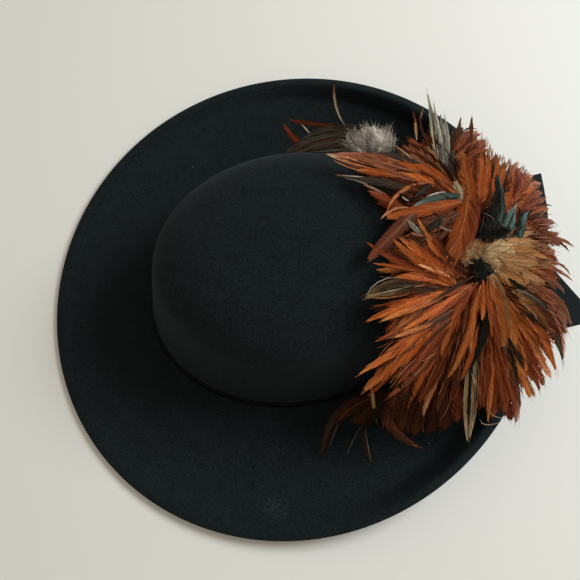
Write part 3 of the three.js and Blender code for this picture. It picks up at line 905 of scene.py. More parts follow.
seenLook = {
    "step": 0.05,  # millimetres that a feather lies over the one before
    "roll": 0.25,  # radians about the quill
    "twist": 0.3,
    "stiffForms": ("silk", "spear", "strap"),
    "stiffRoll": 0.4,  # shares of those turns
    "stiffTwist": 0.3,
    "middleSag": 0.4,  # share of the tip's sag
}


# Places feathers by what the photograph shows of them, from the tables below. Later rows lie over earlier
# ones, and stiff forms are turned less about their quills.
def addSeen(plumage, rows, lift, surface):
    random = plumage.random
    usual = seenLook
    for index, (look, wide, rootPixel, middlePixel, tipPixel, *rest) in enumerate(rows):
        form, kind = look.split()
        gain, over, sag = (*rest, *(None, 0, 0)[len(rest):])
        if gain is None:
            gain = paintedShadeGain(*middlePixel)
        raised = lift + index * usual["step"] + over
        root = seenPoint(rootPixel, surface, raised)
        middle = seenPoint(middlePixel, surface, raised - sag * usual["middleSag"])
        tip = seenPoint(tipPixel, surface, raised - sag)
        roll = random.uniform(-usual["roll"], usual["roll"])
        twist = random.uniform(-usual["twist"], usual["twist"])
        if form in usual["stiffForms"]:
            roll, twist = roll * usual["stiffRoll"], twist * usual["stiffTwist"]
        plumage.add(form, kind, root, controlPoint(root, middle, tip), tip, halfWidthThere(wide, middle),
                    cameraFromMiddle - middle, roll, twist, gain)


# One loose strand or fine plume through three pixels, with a kind, a width and a shade picked at random.
def addLoose(plumage, look, pixels, lift, surface, shade=1.0):
    random = plumage.random
    raised = lift + random.uniform(0, look["depth"])
    root, middle, tip = (seenPoint(pixel, surface, raised) for pixel in pixels)
    kind = look["kinds"][random.integers(len(look["kinds"]))]
    halfWidth = halfWidthThere(look["wide"], middle) * random.uniform(*look["widths"])
    gain = random.uniform(*look["gains"]) * look["gain"] * shade
    plumage.add(look["form"], kind, root, controlPoint(root, middle, tip), tip, halfWidth,
                cameraFromMiddle - middle, gain=gain)


# The pixel some steps along a chain of pixels.
def alongChain(chain, step):
    return np.array([np.interp(step, range(len(chain)), chain[:, axis]) for axis in (0, 1)])


# What a tuft has where its own table says nothing, in pixels and shares, with the depth in millimetres.
tuftUsual = {
    "form": "strand",
    "gain": 1.0,
    "depth": 2.0,
    "loose": 0.8,
    "curl": 1.5,
    "sag": 0,
    "stray": 1.5,
    "shortest": 0.5,  # a clump's reach towards the tips
    "longer": 0.55,
    "lengths": (0.75, 1.05),
    "widths": (0.6, 1.3),
    "gains": (0.7, 1.2),
}


# A tuft of loose barbs that spreads from one short line of pixels to a chain of tips. The barbs of one
# clump meet at its tip.
def addTuft(plumage, tuft, lift, surface):
    random = plumage.random
    look = {**tuftUsual, **tuft}
    tips = np.array(look["tips"], float)
    start, end = np.array(look["from"], float), np.array(look["to"], float)
    clumps = look.get("clumps", look["count"])
    reaches = look["shortest"] + look["longer"] * random.uniform(0, 1, clumps) ** 2
    strays = random.normal(0, look["stray"], (clumps, 2))
    for _ in range(look["count"]):
        share = random.uniform(0, 1)
        clump = int(share * clumps)
        tip = alongChain(tips, (clump + random.uniform(0.2, 0.8)) / clumps * (len(tips) - 1))
        root = start + (end - start) * share + random.normal(0, look["spread"], 2)
        tip = root + (tip - root) * reaches[clump] * random.uniform(*look["lengths"]) + strays[clump]
        tip = tip + random.normal(0, look["loose"], 2)
        bend = (root + tip) / 2 + random.normal(0, look["curl"], 2) + (0, look["sag"])
        addLoose(plumage, look, (root, bend, tip), lift, surface)


# What fine plumes have where their own table says nothing, in shares of the way out.
streakUsual = {
    "form": "strand",
    "gain": 1.0,
    "ends": (0.97, 1.03),  # none runs farther out
    "bend": 0.09,
    "aside": 0.12,
    "widths": (0.5, 1.4),
    "gains": (0.55, 1.15),
}


# Fine plumes that run out from one place over the feathers, between its inner and outer bounds.
def addStreaks(plumage, streaks, lift, surface):
    random = plumage.random
    look = {**streakUsual, **streaks}
    tips = np.array(look["tips"], float)
    centre = np.array(look["centre"], float)
    for _ in range(look["count"]):
        edge = alongChain(tips, random.uniform(0, len(tips) - 1))
        start = random.uniform(*look["starts"])
        end = min(start + random.uniform(*look["lengths"]), random.uniform(*look["ends"]))
        root, tip = centre + (edge - centre) * start, centre + (edge - centre) * end
        aside = np.array([-(tip - root)[1], (tip - root)[0]])
        bend = (root + tip) / 2 + aside * random.uniform(-look["bend"], look["bend"])
        tip = tip + aside * random.uniform(-look["aside"], look["aside"])
        addLoose(plumage, look, (root, bend, tip), lift, surface, paintedShadeGain(*bend))


# The feathers that the photograph shows, by group. A row has a form and a colour, a width, the places of
# the root, the middle and the tip, all in the photograph's pixels, and where they aren't the usual ones:
# the share of the colour, which holds painted light and shade as well as the feather's own tone, how far
# it is raised, in millimetres, and how far its tip sags from the camera.

burstRows = (
    ("frayed brown", 13, (400, 370), (394, 402), (384, 428), 0.62),
    ("frayed brown", 14, (410, 372), (404, 406), (397, 436), 0.6),
    ("frayed brown", 14, (424, 374), (420, 410), (412, 436), 0.6),
    ("frayed brown", 14, (436, 374), (434, 410), (428, 434), 0.6),
    ("frayed brown", 14, (448, 374), (447, 406), (444, 431), 0.6),
    ("frayed rust", 13, (456, 372), (457, 402), (456, 422), 0.55),
    ("frayed rust", 13, (484, 372), (490, 400), (494, 418), 0.55),
    ("frayed rust", 13, (492, 370), (504, 400), (512, 422), 0.6),
    ("lance brown", 8, (425, 372), (402, 408), (406, 438), 0.6),
    ("broad brown", 11, (404, 398), (386, 420), (418, 447), 0.62, 1.5),
    ("spear orange", 5, (390, 414), (399, 434), (419, 447), 0.7, 1.8),
    ("lance brown", 8, (432, 378), (412, 410), (408, 436), 0.6),
    ("lance rust", 8, (436, 380), (422, 408), (424, 434), 0.6),
    ("broad rust", 11, (449, 322), (432, 378), (417, 428)),
    ("broad brown", 11, (455, 325), (445, 382), (439, 430)),
    ("lance rust", 9, (462, 330), (456, 380), (451, 420)),
    ("broad rust", 11, (497, 325), (512, 380), (517, 424)),
    ("broad rust", 12, (494, 325), (503, 375), (504, 414)),
    ("broad rust", 12, (490, 325), (492, 368), (494, 408)),
    ("broad rust", 12, (485, 325), (482, 366), (479, 408)),
    ("frayed blush", 7, (499, 345), (513, 388), (516, 425)),
    ("frayed amber", 8, (505, 330), (519, 368), (531, 400)),
    ("frayed blush", 6, (512, 350), (525, 378), (535, 398)),
    ("spear rust", 15, (508, 318), (526, 358), (541, 393)),
    ("frayed rust", 8, (520, 335), (535, 365), (544, 387)),
    ("frayed peach", 6, (522, 330), (541, 362), (552, 378)),
    ("spear amber", 14, (508, 306), (531, 343), (551, 377)),
    ("spear orange", 14, (511, 302), (540, 336), (557, 373)),
    ("lance bright", 8, (512, 315), (529, 341), (548, 362)),
    ("frayed rust", 10, (524, 296), (547, 322), (560, 350)),
    ("frayed blush", 9, (530, 292), (552, 320), (564, 362)),
    ("broad blush", 11, (526, 286), (549, 308), (568, 336), 0.8),
    ("frayed blush", 8, (532, 286), (551, 304), (568, 326), 0.8),
    ("broad plum", 10, (525, 290), (549, 312), (563, 336)),
    ("lance black", 8, (530, 296), (550, 320), (562, 360)),
    ("lance tan", 7, (518, 292), (537, 311), (553, 336), 0.7),
    ("lance black", 6, (514, 299), (537, 321), (552, 349)),
    ("broad tan", 10, (508, 291), (524, 304), (540, 330), 0.7),
    ("spear olive", 11, (516, 290), (546, 316), (563, 360), 1.15, 0.3),
    ("spear black", 6, (532, 304), (554, 326), (563, 364), None, 0.5),
    ("spear blush", 13, (528, 286), (556, 302), (572, 326), 0.75, 0.5),
    ("spear black", 4, (522, 310), (536, 322), (548, 340), None, 0.6),
    ("lance brown", 10, (504, 288), (514, 300), (528, 319)),
    ("broad amber", 11, (500, 292), (513, 330), (527, 375)),
    ("lance bright", 8, (503, 296), (513, 325), (524, 352)),
    ("lance amber", 9, (486, 330), (490, 375), (487, 425)),
    ("lance rust", 8, (495, 338), (506, 372), (515, 408)),
    ("lance rust", 7, (494, 340), (499, 374), (503, 404)),
    ("lance rust", 8, (488, 338), (487, 372), (484, 398)),
    ("lance plum", 7, (500, 340), (514, 378), (521, 408)),
    ("lance black", 8, (499, 336), (510, 358), (518, 382)),
    ("slim black", 5, (504, 332), (517, 354), (525, 370)),
    ("lance orange", 8, (432, 322), (402, 345), (367, 368)),
    ("lance rust", 6, (403, 358), (385, 379), (367, 397)),
    ("lance bright", 11, (436, 318), (400, 347), (355, 376)),
    ("broad bright", 15, (440, 322), (401, 357), (361, 392)),
    ("lance plum", 11, (458, 318), (425, 363), (386, 399)),
    # Painted glints: pale strands where the plum feathers shine.
    ("strand blush", 1.0, (418, 356), (406, 368), (396, 378), None, 0.5),
    ("strand peach", 0.9, (416, 351), (409, 360), (405, 368), None, 1),
    ("lance rust", 12, (459, 312), (424, 352), (396, 385)),
    ("lance orange", 8, (452, 330), (421, 377), (407, 409)),
    ("lance rust", 10, (456, 334), (432, 380), (418, 402)),
    ("lance peach", 7, (450, 352), (431, 390), (423, 417)),
    ("lance brown", 9, (462, 334), (445, 384), (437, 412)),
    ("lance brown", 7, (467, 330), (457, 378), (449, 405)),
    ("silk cream", 4, (470, 356), (465.5, 400), (467.5, 444), 0.75),
    ("silk cream", 7, (476, 352), (474, 398), (469, 440), 0.75),
    ("slim black", 4, (473, 350), (469, 402), (468, 438), None, 0.3),
    ("slim black", 2, (478, 352), (477, 392), (473, 424), None, 0.3),
    ("slim cream", 1.5, (471, 372), (474, 380), (477, 389)),
    ("lance rust", 7, (443, 317), (416, 338), (393, 352)),
    ("lance plum", 8, (450, 312), (429, 326), (404, 346)),
    ("lance rust", 6, (452, 303), (415, 322), (379, 339)),
    ("spear plum", 10, (456, 308), (418, 328), (380, 338), 0.75),
    ("spear plum", 11, (456, 314), (424, 338), (390, 360), 0.85),
    ("spear plum", 9, (456, 320), (430, 348), (402, 376), 0.75),
    # Painted glints: pale strands where the plum feathers shine.
    ("strand peach", 0.9, (438, 352), (430, 357), (420, 362), None, 0.6),
    ("strand blush", 0.9, (440, 333), (424, 341), (408, 352), None, 0.6),
    ("lance amber", 7, (443, 316), (418, 328), (392, 338)),
    ("lance orange", 11, (453, 289), (406, 304), (364, 323)),
    ("lance amber", 8, (449, 294), (415, 307), (379, 322)),
    ("lance brown", 6, (430, 292), (408, 293), (387, 298)),
    ("silk rimmed", 17, (437, 288), (400, 286), (365, 297)),
    ("strand grey", 1.0, (398, 277), (378, 282), (366, 296), 0.6, 0.6),
    ("strand cream", 1.2, (412, 286), (390, 291), (365, 297), 0.6, 0.5),
    ("slim tan", 2.2, (396, 297), (380, 298), (364, 297), 0.7, 0.4),
    ("strand brown", 1.0, (424, 282), (400, 282), (378, 287), 0.7, 0.6),
    ("strand black", 1.3, (424, 288), (398, 288), (374, 293), None, 0.6),
    ("lance brown", 5, (446, 290), (425, 284), (402, 281)),
    ("lance orange", 9, (449, 286), (420, 277), (393, 278)),
    ("lance rust", 8, (440, 279), (402, 264), (364, 240)),
    ("slim orange", 5, (416, 271), (395, 267), (371, 263)),
    ("slim brown", 5, (420, 262), (400, 255), (383, 249)),
    ("lance rust", 8, (452, 272), (440, 254), (433, 232)),
    ("lance orange", 8, (454, 276), (438, 256), (426, 236)),
    ("lance orange", 9, (456, 282), (430, 259), (408, 238)),
    ("lance bright", 10, (456, 288), (420, 263), (392, 238)),
    ("lance bright", 9, (456, 284), (424, 257), (398, 236)),
    ("slim peach", 5, (450, 277), (435, 270), (417, 264)),
    ("lance rust", 9, (466, 278), (440, 262), (423, 246)),
    ("lance brown", 8, (468, 272), (448, 258), (434, 236)),
    ("lance rust", 7, (474, 283), (455, 291), (432, 298)),
    ("slim brown", 4, (474, 276), (452, 289), (428, 304), 0.6),
    ("strand black", 1.4, (472, 276), (452, 289), (432, 302), 0.7, 0.3),
    ("lance orange", 8, (470, 286), (432, 312), (401, 331)),
    ("lance rust", 8, (472, 288), (450, 304), (426, 322)),
    ("lance rust", 10, (482, 284), (476, 304), (466, 345)),
    ("lance orange", 10, (472, 286), (452, 323), (441, 358)),
    ("lance rust", 8, (478, 282), (462, 304), (446, 336)),
    ("lance plum", 6, (468, 290), (466, 310), (462, 338)),
    ("lance amber", 7, (478, 300), (463, 348), (447, 379)),
    ("lance amber", 8, (481, 285), (472, 322), (471, 356)),
    ("lance orange", 6, (478, 326), (470, 358), (459, 383)),
    ("lance black", 8, (485, 300), (482, 340), (456, 386)),
    ("broad amber", 12, (492, 278), (508, 312), (515, 347), 1.1),
    ("broad amber", 16, (491, 276), (497, 310), (503, 350), 1.0),
    ("spear rust", 9, (490, 292), (495, 326), (501, 360), 0.85, 0.3),
    ("silk gold", 15, (490, 275), (500, 302), (506, 340), 0.72, 0.3),
    ("slim orange", 3, (487, 280), (489, 310), (493, 340), 0.9, 0.5),
    ("lance bright", 8, (483, 280), (484, 300), (482, 322)),
    ("lance orange", 6, (490, 276), (492, 304), (491, 336)),
    ("slim peach", 2, (492, 282), (496, 291), (501, 297)),
    ("strand cream", 0.9, (488, 407), (494, 416), (507, 418), 0.5),
    ("strand cream", 0.9, (480, 419), (487, 425), (506, 420), 0.5),
    ("strand peach", 1.0, (507, 298), (513, 306), (520, 313), 0.8, 1),
    ("strand cream", 0.9, (511, 290), (523, 292), (536, 298), 0.3),
)

fanRows = (
    ("frayed rust", 10, (500, 262), (532, 268), (559, 280), 0.8),
    ("frayed rust", 9, (500, 256), (532, 254), (560, 266), 0.8),
    ("frayed plum", 10, (520, 240), (542, 238), (562, 246)),
    ("slim blush", 4, (535, 266), (556, 270), (574, 282), 0.9),
    ("slim blush", 3, (540, 262), (560, 264), (571, 277), 0.8),
    ("slim blush", 4, (540, 276), (556, 284), (565, 294), 0.7),
    ("lance blush", 5, (532, 244), (556, 239), (575, 248), 0.8),
    ("slim brown", 3, (545, 242), (560, 243), (570, 253)),
    ("slim blush", 3, (540, 240), (558, 240), (570, 244), 0.9),
    ("slim black", 5, (508, 278), (524, 289), (542, 299)),
    ("silk tan", 14, (488, 262), (508, 278), (536, 289), 0.79),
    ("silk gold", 15, (490, 260), (514, 272), (548, 284), 0.79),
    ("slim brown", 2.4, (506, 266), (518, 276), (529, 286), 1.2),
    ("silk gold", 17, (488, 256), (520, 264), (556, 276), 0.88),
    ("slim brown", 2.4, (510, 262), (517, 268), (524, 278), 1.2),
    ("silk tan", 15, (488, 252), (520, 254), (554, 264), 0.84),
    ("slim brown", 2, (519, 251), (531, 255), (543, 260), 1.3),
    ("slim brown", 3, (541, 259), (549, 260), (556, 261), 0.7),
    ("silk gold", 14, (486, 248), (522, 245), (558, 254), 0.88),
    ("silk gold", 13, (486, 246), (518, 236), (554, 243), 0.79),
    ("silk tan", 9, (490, 242), (512, 232), (540, 231), 0.79),
    ("strand peach", 1.0, (506, 249), (518, 247), (534, 246)),
)

darkRows = (
    ("silk black", 14, (478, 244), (480, 226), (487, 204), 1.1),
    ("silk black", 18, (482, 244), (491, 222), (498, 198), 1.1),
    ("silk black", 18, (486, 244), (500, 230), (514, 212), 1.1),
    ("silk black", 13, (488, 244), (505, 236), (522, 226), 1.2),
    ("lance black", 12, (492, 222), (495, 198), (497, 172), 1.2),
    ("lance black", 11, (496, 240), (511, 235), (527, 218), 1.1),
    # The teal feathers are black ones with their green sheen painted in as colour.
    ("lance teal", 11, (500, 224), (500, 202), (498, 176), 0.5),
    ("spear teal", 10, (503, 234), (509, 218), (517, 204), 0.85),
    ("spear teal", 7, (507, 232), (512, 224), (515, 213), 0.8, 0.3),
    ("spear black", 7, (514, 234), (521, 224), (532, 210), 1.1, 0.3),
    ("spear teal", 10, (520, 238), (522, 224), (528, 211), 0.7, 0.4),
    ("strand black", 1.2, (500, 218), (500, 200), (497, 180), None, 0.3),
    ("strand black", 1.0, (504, 220), (505, 208), (502, 192), None, 0.3),
    ("strand black", 1.0, (505, 230), (512, 218), (515, 208), None, 0.3),
    ("strand black", 1.2, (517, 238), (519, 226), (519, 214), None, 0.3),
    ("strand black", 1.0, (521, 238), (524, 226), (526, 216), None, 0.3),
    ("slim black", 3, (518, 224), (520, 214), (518, 206)),
    ("lance plum", 4, (490, 205), (490, 192), (489, 181)),
    ("strand grey", 0.7, (482, 213), (489, 215), (495, 221), 0.55),
    ("strand mouse", 0.6, (480, 232), (483, 222), (484, 214), 0.7),
    ("strand gold", 0.7, (506, 240), (511, 233), (516, 226), 0.6),
    ("lance black", 10, (473, 250), (479, 266), (486, 286)),
    ("lance black", 10, (466, 258), (478, 268), (489, 290)),
    ("lance black", 8, (474, 260), (486, 266), (497, 277)),
    ("slim black", 4, (476, 264), (467, 260), (457, 257)),
    ("slim black", 4, (474, 260), (474, 253), (476, 245)),
)

rimRows = (
    ("broad rust", 11, (508, 206), (512, 186), (516, 164), 0.7),
    ("frayed rust", 11, (510, 240), (532, 236), (557, 236), 0.84),
    ("frayed plum", 8, (525, 238), (543, 237), (560, 233), 1.01),
    ("broad rust", 12, (514, 232), (536, 225), (556, 223), 0.90),
    ("lance brown", 5, (518, 222), (533, 218), (549, 218), 0.90),
    ("silk orange", 11, (512, 226), (532, 213), (550, 209), 0.67),
    ("broad rust", 10, (512, 222), (530, 206), (547, 199), 0.84),
    ("lance rust", 9, (510, 216), (527, 200), (541, 190), 0.90),
    ("slim brown", 3, (524, 212), (538, 205), (553, 206), 0.78),
    ("frayed blush", 9, (516, 202), (529, 189), (541, 182), 0.75),
    ("lance rust", 8, (514, 214), (531, 199), (544, 192), 0.9),
    ("broad rust", 11, (506, 218), (520, 205), (536, 194), 0.84),
    ("silk orange", 12, (505, 212), (521, 195), (537, 182), 0.73),
    ("slim brown", 2, (512, 206), (524, 196), (534, 184), 0.78, 0.5),
    # a painted glint on the feather below
    ("strand peach", 1.3, (512, 204), (513, 198), (517, 192), None, 1),
    ("broad rust", 12, (508, 210), (519, 192), (531, 173), 0.85),
    ("frayed blush", 8, (516, 196), (524, 183), (533, 174), 0.8),
    ("frayed plum", 7, (514, 196), (520, 182), (526, 172), 1.01),
    ("silk rust", 9, (507, 208), (514, 188), (520, 166), 1.01),
    ("slim brown", 2, (512, 200), (516, 183), (519, 167), 0.78, 0.5),
    ("silk orange", 12, (503, 212), (507, 186), (513, 163), 0.90),
    ("frayed blush", 4, (508, 178), (513, 169), (519, 161), 0.90),
    ("strand blush", 0.8, (516, 180), (522, 172), (524, 164), 0.90),
    ("strand blush", 0.8, (510, 172), (516, 166), (517, 160), 0.90),
)

crestRows = (
    ("lance brown", 7, (458, 170), (456, 145), (462, 115), 0.75),
    ("frayed mouse", 9, (452, 172), (451, 150), (456, 128), 0.6),
    ("lance plum", 6, (467, 165), (470, 138), (472, 115), 0.8),
    ("frayed plum", 16, (460, 172), (462, 150), (464, 130), 0.6),
    ("frayed rust", 13, (466, 185), (476, 158), (486, 140), 0.7),
    ("frayed rust", 10, (458, 176), (468, 156), (478, 136), 0.65),
    ("frayed blush", 8, (460, 146), (468, 138), (478, 130), 0.85),
    ("broad brown", 12, (449, 152), (455, 138), (463, 126), 0.45, 0.5),
    ("lance brown", 6, (452, 150), (460, 138), (470, 130), 0.9, 0.6),
    ("lance rust", 8, (452, 152), (466, 141), (482, 133), 0.75, 0.6),
    ("lance rust", 8, (454, 158), (470, 147), (487, 139), 0.85, 0.7),
    ("lance rust", 9, (458, 164), (474, 154), (489, 149), 0.75, 0.6),
    ("slim brown", 3, (456, 154), (468, 145), (480, 141), 0.8, 0.9),
    ("slim peach", 1.4, (462, 150), (472, 143), (482, 139), 0.6, 1),
    ("slim brown", 2, (460, 136), (467, 129), (478, 129), 0.5, 0.8),
    ("silk rust", 12, (474, 202), (474, 176), (474, 150), 0.8),
    ("silk orange", 10, (489, 212), (498, 184), (506, 160), 0.8),
    ("silk orange", 11, (487, 208), (493, 180), (497, 152), 0.9),
    ("silk orange", 9, (482, 203), (486, 178), (488, 151), 0.85, 1.2),
    ("silk orange", 9, (478, 203), (480, 178), (481, 152), 0.8, 1.0),
    ("slim peach", 2, (486, 186), (487, 170), (485, 156), 0.6),
    ("silk bright", 15, (471, 204), (466, 176), (459, 148), 0.68, 1.5),
    ("silk orange", 6, (474, 202), (471, 184), (469, 166), 0.8, 1.2),
    ("slim peach", 3, (474, 198), (472, 188), (469, 179), 0.7),
    ("lance brown", 5, (486, 205), (489, 186), (489, 168), 0.75),
    ("lance brown", 4, (476, 202), (476, 186), (476, 168), 0.75),
)

sprayRows = (
    ("broad brown", 14, (460, 196), (438, 168), (405, 142)),
    ("frayed brown", 10, (456, 190), (446, 160), (424, 134)),
    ("frayed rust", 9, (454, 190), (430, 160), (408, 137)),
    ("broad plum", 12, (455, 192), (430, 168), (393, 146)),
    ("lance rust", 8, (450, 186), (428, 162), (400, 145)),
    ("slim gold", 3, (416.6, 140), (415.6, 126), (414, 112), 0.75, 0.5),
    ("slim brown", 2.4, (415, 124), (414, 117), (413, 110), 1.2, 0.8),
    ("slim plum", 3, (429, 147), (420, 122), (423, 106), 0.55),
    ("strand grey", 1.0, (421, 120), (422, 113), (424, 106), 0.6, 0.4),
    ("lance mouse", 13, (452, 184), (445, 160), (440, 130), 0.5),
    ("spear mouse", 17, (442, 176), (441, 144), (440, 117), 0.55, 0.8),
    ("spear silver", 8, (438, 168), (434, 130), (427, 91), 0.9, 2.2),
    ("spear silver", 7, (441, 166), (439, 138), (433, 99), 0.95, 2.3),
    ("slim grey", 5, (443, 166), (443, 138), (440, 112), 0.55, 2.3),
    ("spear silver", 6, (446, 166), (447, 138), (444, 113), 0.9, 2.3),
    ("strand cream", 1.3, (436.5, 156), (432.4, 134), (431, 110), 0.9, 3),
    ("strand black", 1.2, (440, 158), (436.8, 134), (434, 112), None, 3),
    ("strand mouse", 0.9, (445, 158), (444.8, 138), (443, 120), 0.6, 3),
    ("strand silver", 1.0, (431, 112), (428.4, 101), (426, 90), None, 2.2),
    ("frayed cream", 9, (462, 202), (457, 190), (452, 176), 0.6),
    ("broad plum", 12, (462, 205), (432, 196), (396, 178)),
    ("lance brown", 8, (452, 202), (425, 192), (396, 186)),
    ("spear plum", 10, (430, 194), (386, 183.5), (336, 174.5), 0.8),
    ("silk brown", 5, (404, 186), (374, 180), (337, 175), 0.9),
    ("strand grey", 1.3, (364, 177), (350, 176), (336, 175), 1.1, 0.5),
    ("strand grey", 1.3, (390, 198), (366, 184), (344, 178), 0.9, 0.3),
    ("slim peach", 3, (394, 202), (380, 192), (362, 184), 0.7),
    ("lance rust", 10, (412, 214), (388, 201), (368, 191), 1.1),
    ("strand blush", 1.3, (384, 196), (376, 192.6), (367, 190.6), None, 0.5),
    ("broad plum", 12, (458, 200), (432, 184), (400, 160), 1.2),
    ("silk mouse", 8, (424, 168), (398, 158), (372, 153), 0.55),
    ("slim cream", 2, (404, 160), (394, 155), (384, 153), 0.8),
    ("broad orange", 12, (458, 192), (432, 174), (400, 166)),
    ("spear mouse", 9, (408, 188), (374, 181.5), (338, 175.5), 0.55, 0.5),
    ("spear black", 5, (404, 196), (384, 189), (366, 184), 0.5, 0.7),
    ("spear blush", 11, (414, 181), (372, 169), (334, 158.5), 0.8, 0.3),
    ("strand peach", 1.1, (366, 172), (348, 167), (333, 160), None, 0.3),
    ("silk orange", 8, (405, 178), (380, 173), (355, 170), 0.9),
    ("strand peach", 1.0, (400, 174), (378, 171), (357, 170), None, 0.3),
    ("spear blush", 13, (408, 170), (364, 158.5), (328, 154.5), 0.95, 0.3),
    ("slim peach", 2.4, (378, 170), (352, 163.5), (330, 156.5), 0.9, 0.6),
    ("spear orange", 3.5, (400, 161), (370, 154.5), (336, 152.5), 0.9, 0.8),
    ("strand black", 1.0, (380, 167), (364, 162), (348, 158.4), None, 1),
    ("slim brown", 3, (384, 170), (364, 165), (346, 160), 0.8, 0.8),
    ("slim peach", 3, (352, 159), (338, 156.6), (328, 155), 1.4, 1),
    ("spear cream", 2.6, (341, 157.6), (333, 156), (326.5, 154.4), 1.5, 1.4),
    # The next three are painted highlights along the spray's upper feathers.
    ("spear peach", 2.2, (358, 161), (352, 158.8), (345, 156.2), 1.5, 1.4),
    ("strand peach", 1.2, (392, 169), (366, 161), (340, 156), 1.0, 1.2),
    ("strand cream", 1.2, (406, 163), (384, 158), (360, 154.6), 0.8, 1.2),
    ("lance bright", 9, (440, 182), (408, 168), (382, 163)),
    ("lance striped", 9, (456, 192), (432, 178), (402, 167)),
    ("broad bright", 8, (460, 196), (430, 182), (392, 172)),
    ("strand cream", 1.5, (420, 169), (408, 155), (393, 145), 0.8),
    ("slim orange", 5, (432, 182), (402, 191), (386, 214), 0.8),
    ("slim peach", 1.6, (424, 183), (403, 190), (388, 207), 0.8, 0.4),
    ("spear black", 8, (432, 185), (423, 191), (413, 198), 0.3, 0.3),
    ("strand grey", 1.5, (409, 201), (405, 199), (402, 196), None, 0.5),
    ("lance brown", 11, (462, 212), (438, 222), (412, 222)),
    ("slim plum", 4, (456, 222), (442, 214), (432, 211)),
    ("slim grey", 1.6, (452, 231), (441, 227), (428, 217), 0.8),
    ("spear black", 9, (442, 219), (433, 226), (424, 232), 0.3, 0.4),
    ("silk plum", 15, (420, 206), (394, 233), (367, 262), 0.95),
    ("strand orange", 1.0, (404, 220), (388, 237), (372, 256), 0.7, 0.5),
    ("lance silver", 5, (422, 235), (414, 227), (407, 220), 0.9),
    ("slim blush", 3, (424, 236), (418, 235), (410, 233)),
    ("slim amber", 5, (442, 252), (427, 235), (417, 217)),
    ("silk orange", 13, (462, 202), (424, 210), (384, 218), 0.75),
    ("silk teal", 9, (462, 196), (436, 199), (412, 208), 0.42),
    ("slim peach", 3.6, (408, 207), (392, 210), (380, 220), 0.9),
    ("slim peach", 1.8, (456, 200), (424, 205), (384, 216), None, 0.3),
    ("strand grey", 1.4, (446, 192), (437, 193), (426, 197), None, 0.4),
    ("frayed cream", 8, (461, 203), (458, 192), (454, 180), 0.7),
    ("strap rust", 13, (475, 198), (472, 224), (461, 264), 1.1, 1),
    ("strap orange", 21, (468, 196), (461, 233), (443, 277), 0.66, 1),
    ("slim rust", 4, (458, 250), (450, 264), (440, 279), 0.9, 1),
    ("slim orange", 3, (462, 246), (456, 260), (449, 274), 0.75, 1.3),
    ("slim orange", 3, (458, 238), (450, 252), (441, 268), 0.7, 1.3),
    ("strand peach", 0.8, (473, 203), (466, 230), (455, 258), 0.7, 1.4),
)

wispRows = (
    ("silk olive", 14, (366, 142), (330, 143), (288, 153), 0.75),
    ("silk mouse", 10, (360, 138), (324, 137), (284, 153), 0.45),
    ("silk olive", 9, (360, 134), (330, 131), (298, 143), 0.65),
    ("silk olive", 9, (358, 148), (328, 147), (298, 153), 0.7),
    ("slim plum", 6, (350, 130), (324, 125), (292, 121.5), 0.6, 0, 8),
    ("slim rust", 5, (322, 125), (304, 123), (288, 119.5), 0.6, 0, 8),
    ("slim rust", 7, (306, 147), (293, 137), (283, 123), 0.6, 0, 8),
    ("spear silver", 3, (346, 150), (328, 150), (306, 153), 0.5, 1.6),
    ("strand rust", 1.2, (352, 131), (320, 134), (286, 152), 0.6, 1.8),
    ("strand olive", 1.4, (350, 134), (320, 138), (290, 152), 1.6, 1.8),
    ("strand rust", 1.2, (346, 137), (318, 141), (290, 153), 0.6, 1.8),
    ("strand olive", 1.4, (350, 142), (324, 144), (296, 153), 1.5, 1.8),
    ("strand cream", 1.3, (310, 134), (306, 129), (301, 124), 0.9, 0, 4),
    ("slim gold", 3, (346, 127), (336.6, 108), (334.4, 83), 0.5, 0, 14),
    ("strand silver", 1.1, (346, 127), (336, 108), (334, 86), 0.8, 0.4, 14),
    ("strand brown", 1.2, (345, 127), (335, 108), (333, 84), 1.2, 0.4, 14),
    ("down down", 20, (362, 150), (355, 141), (345, 131), 0.6),
    ("down down", 22, (368, 154), (366, 141), (361, 127), 1.4),
    ("down down", 22, (378, 154), (379, 142), (381, 128), 1.35),
)

tailRows = (
    ("frayed plum", 17, (392, 396), (370, 408), (352, 424), 0.2),
    ("frayed mouse", 16, (384, 400), (372, 414), (360, 430), 0.16),
    ("silk plum", 13, (390, 393), (362, 402), (333, 424), 0.22, 0.3),
    ("silk plum", 10, (360, 398), (333, 420), (322, 458), 0.22, 0.5),
    ("spear mouse", 7, (344, 405), (330, 424), (320, 458), 0.2, 0.7),
    ("slim plum", 4, (370, 399), (351, 408), (336, 424), 0.5, 0.9),
    ("slim rust", 2, (362, 404), (346, 410), (335, 420), 0.4, 1.0),
    ("slim mouse", 2.5, (338, 424), (334, 434), (328, 450), 0.45, 1.0),
    ("spear gold", 4, (371, 380), (373.6, 404), (377, 425), 0.7, 3),
    ("strand mouse", 1.2, (377, 408), (377, 412), (379, 417), 0.6),
    ("strand mouse", 1.5, (363, 424), (354, 438), (347, 455), 0.8),
    ("slim mouse", 4.5, (361, 424), (365.4, 446), (371, 464), 0.25),
    ("strand grey", 1.0, (365, 428), (368, 446), (371, 462), 0.35, 0.5),
)

# Tufts of loose barbs, in the photograph's pixels too. They spread from the line between two pixels to a
# chain of tips. spread, curl and loose scatter their roots, bends and tips, and depth is in millimetres.

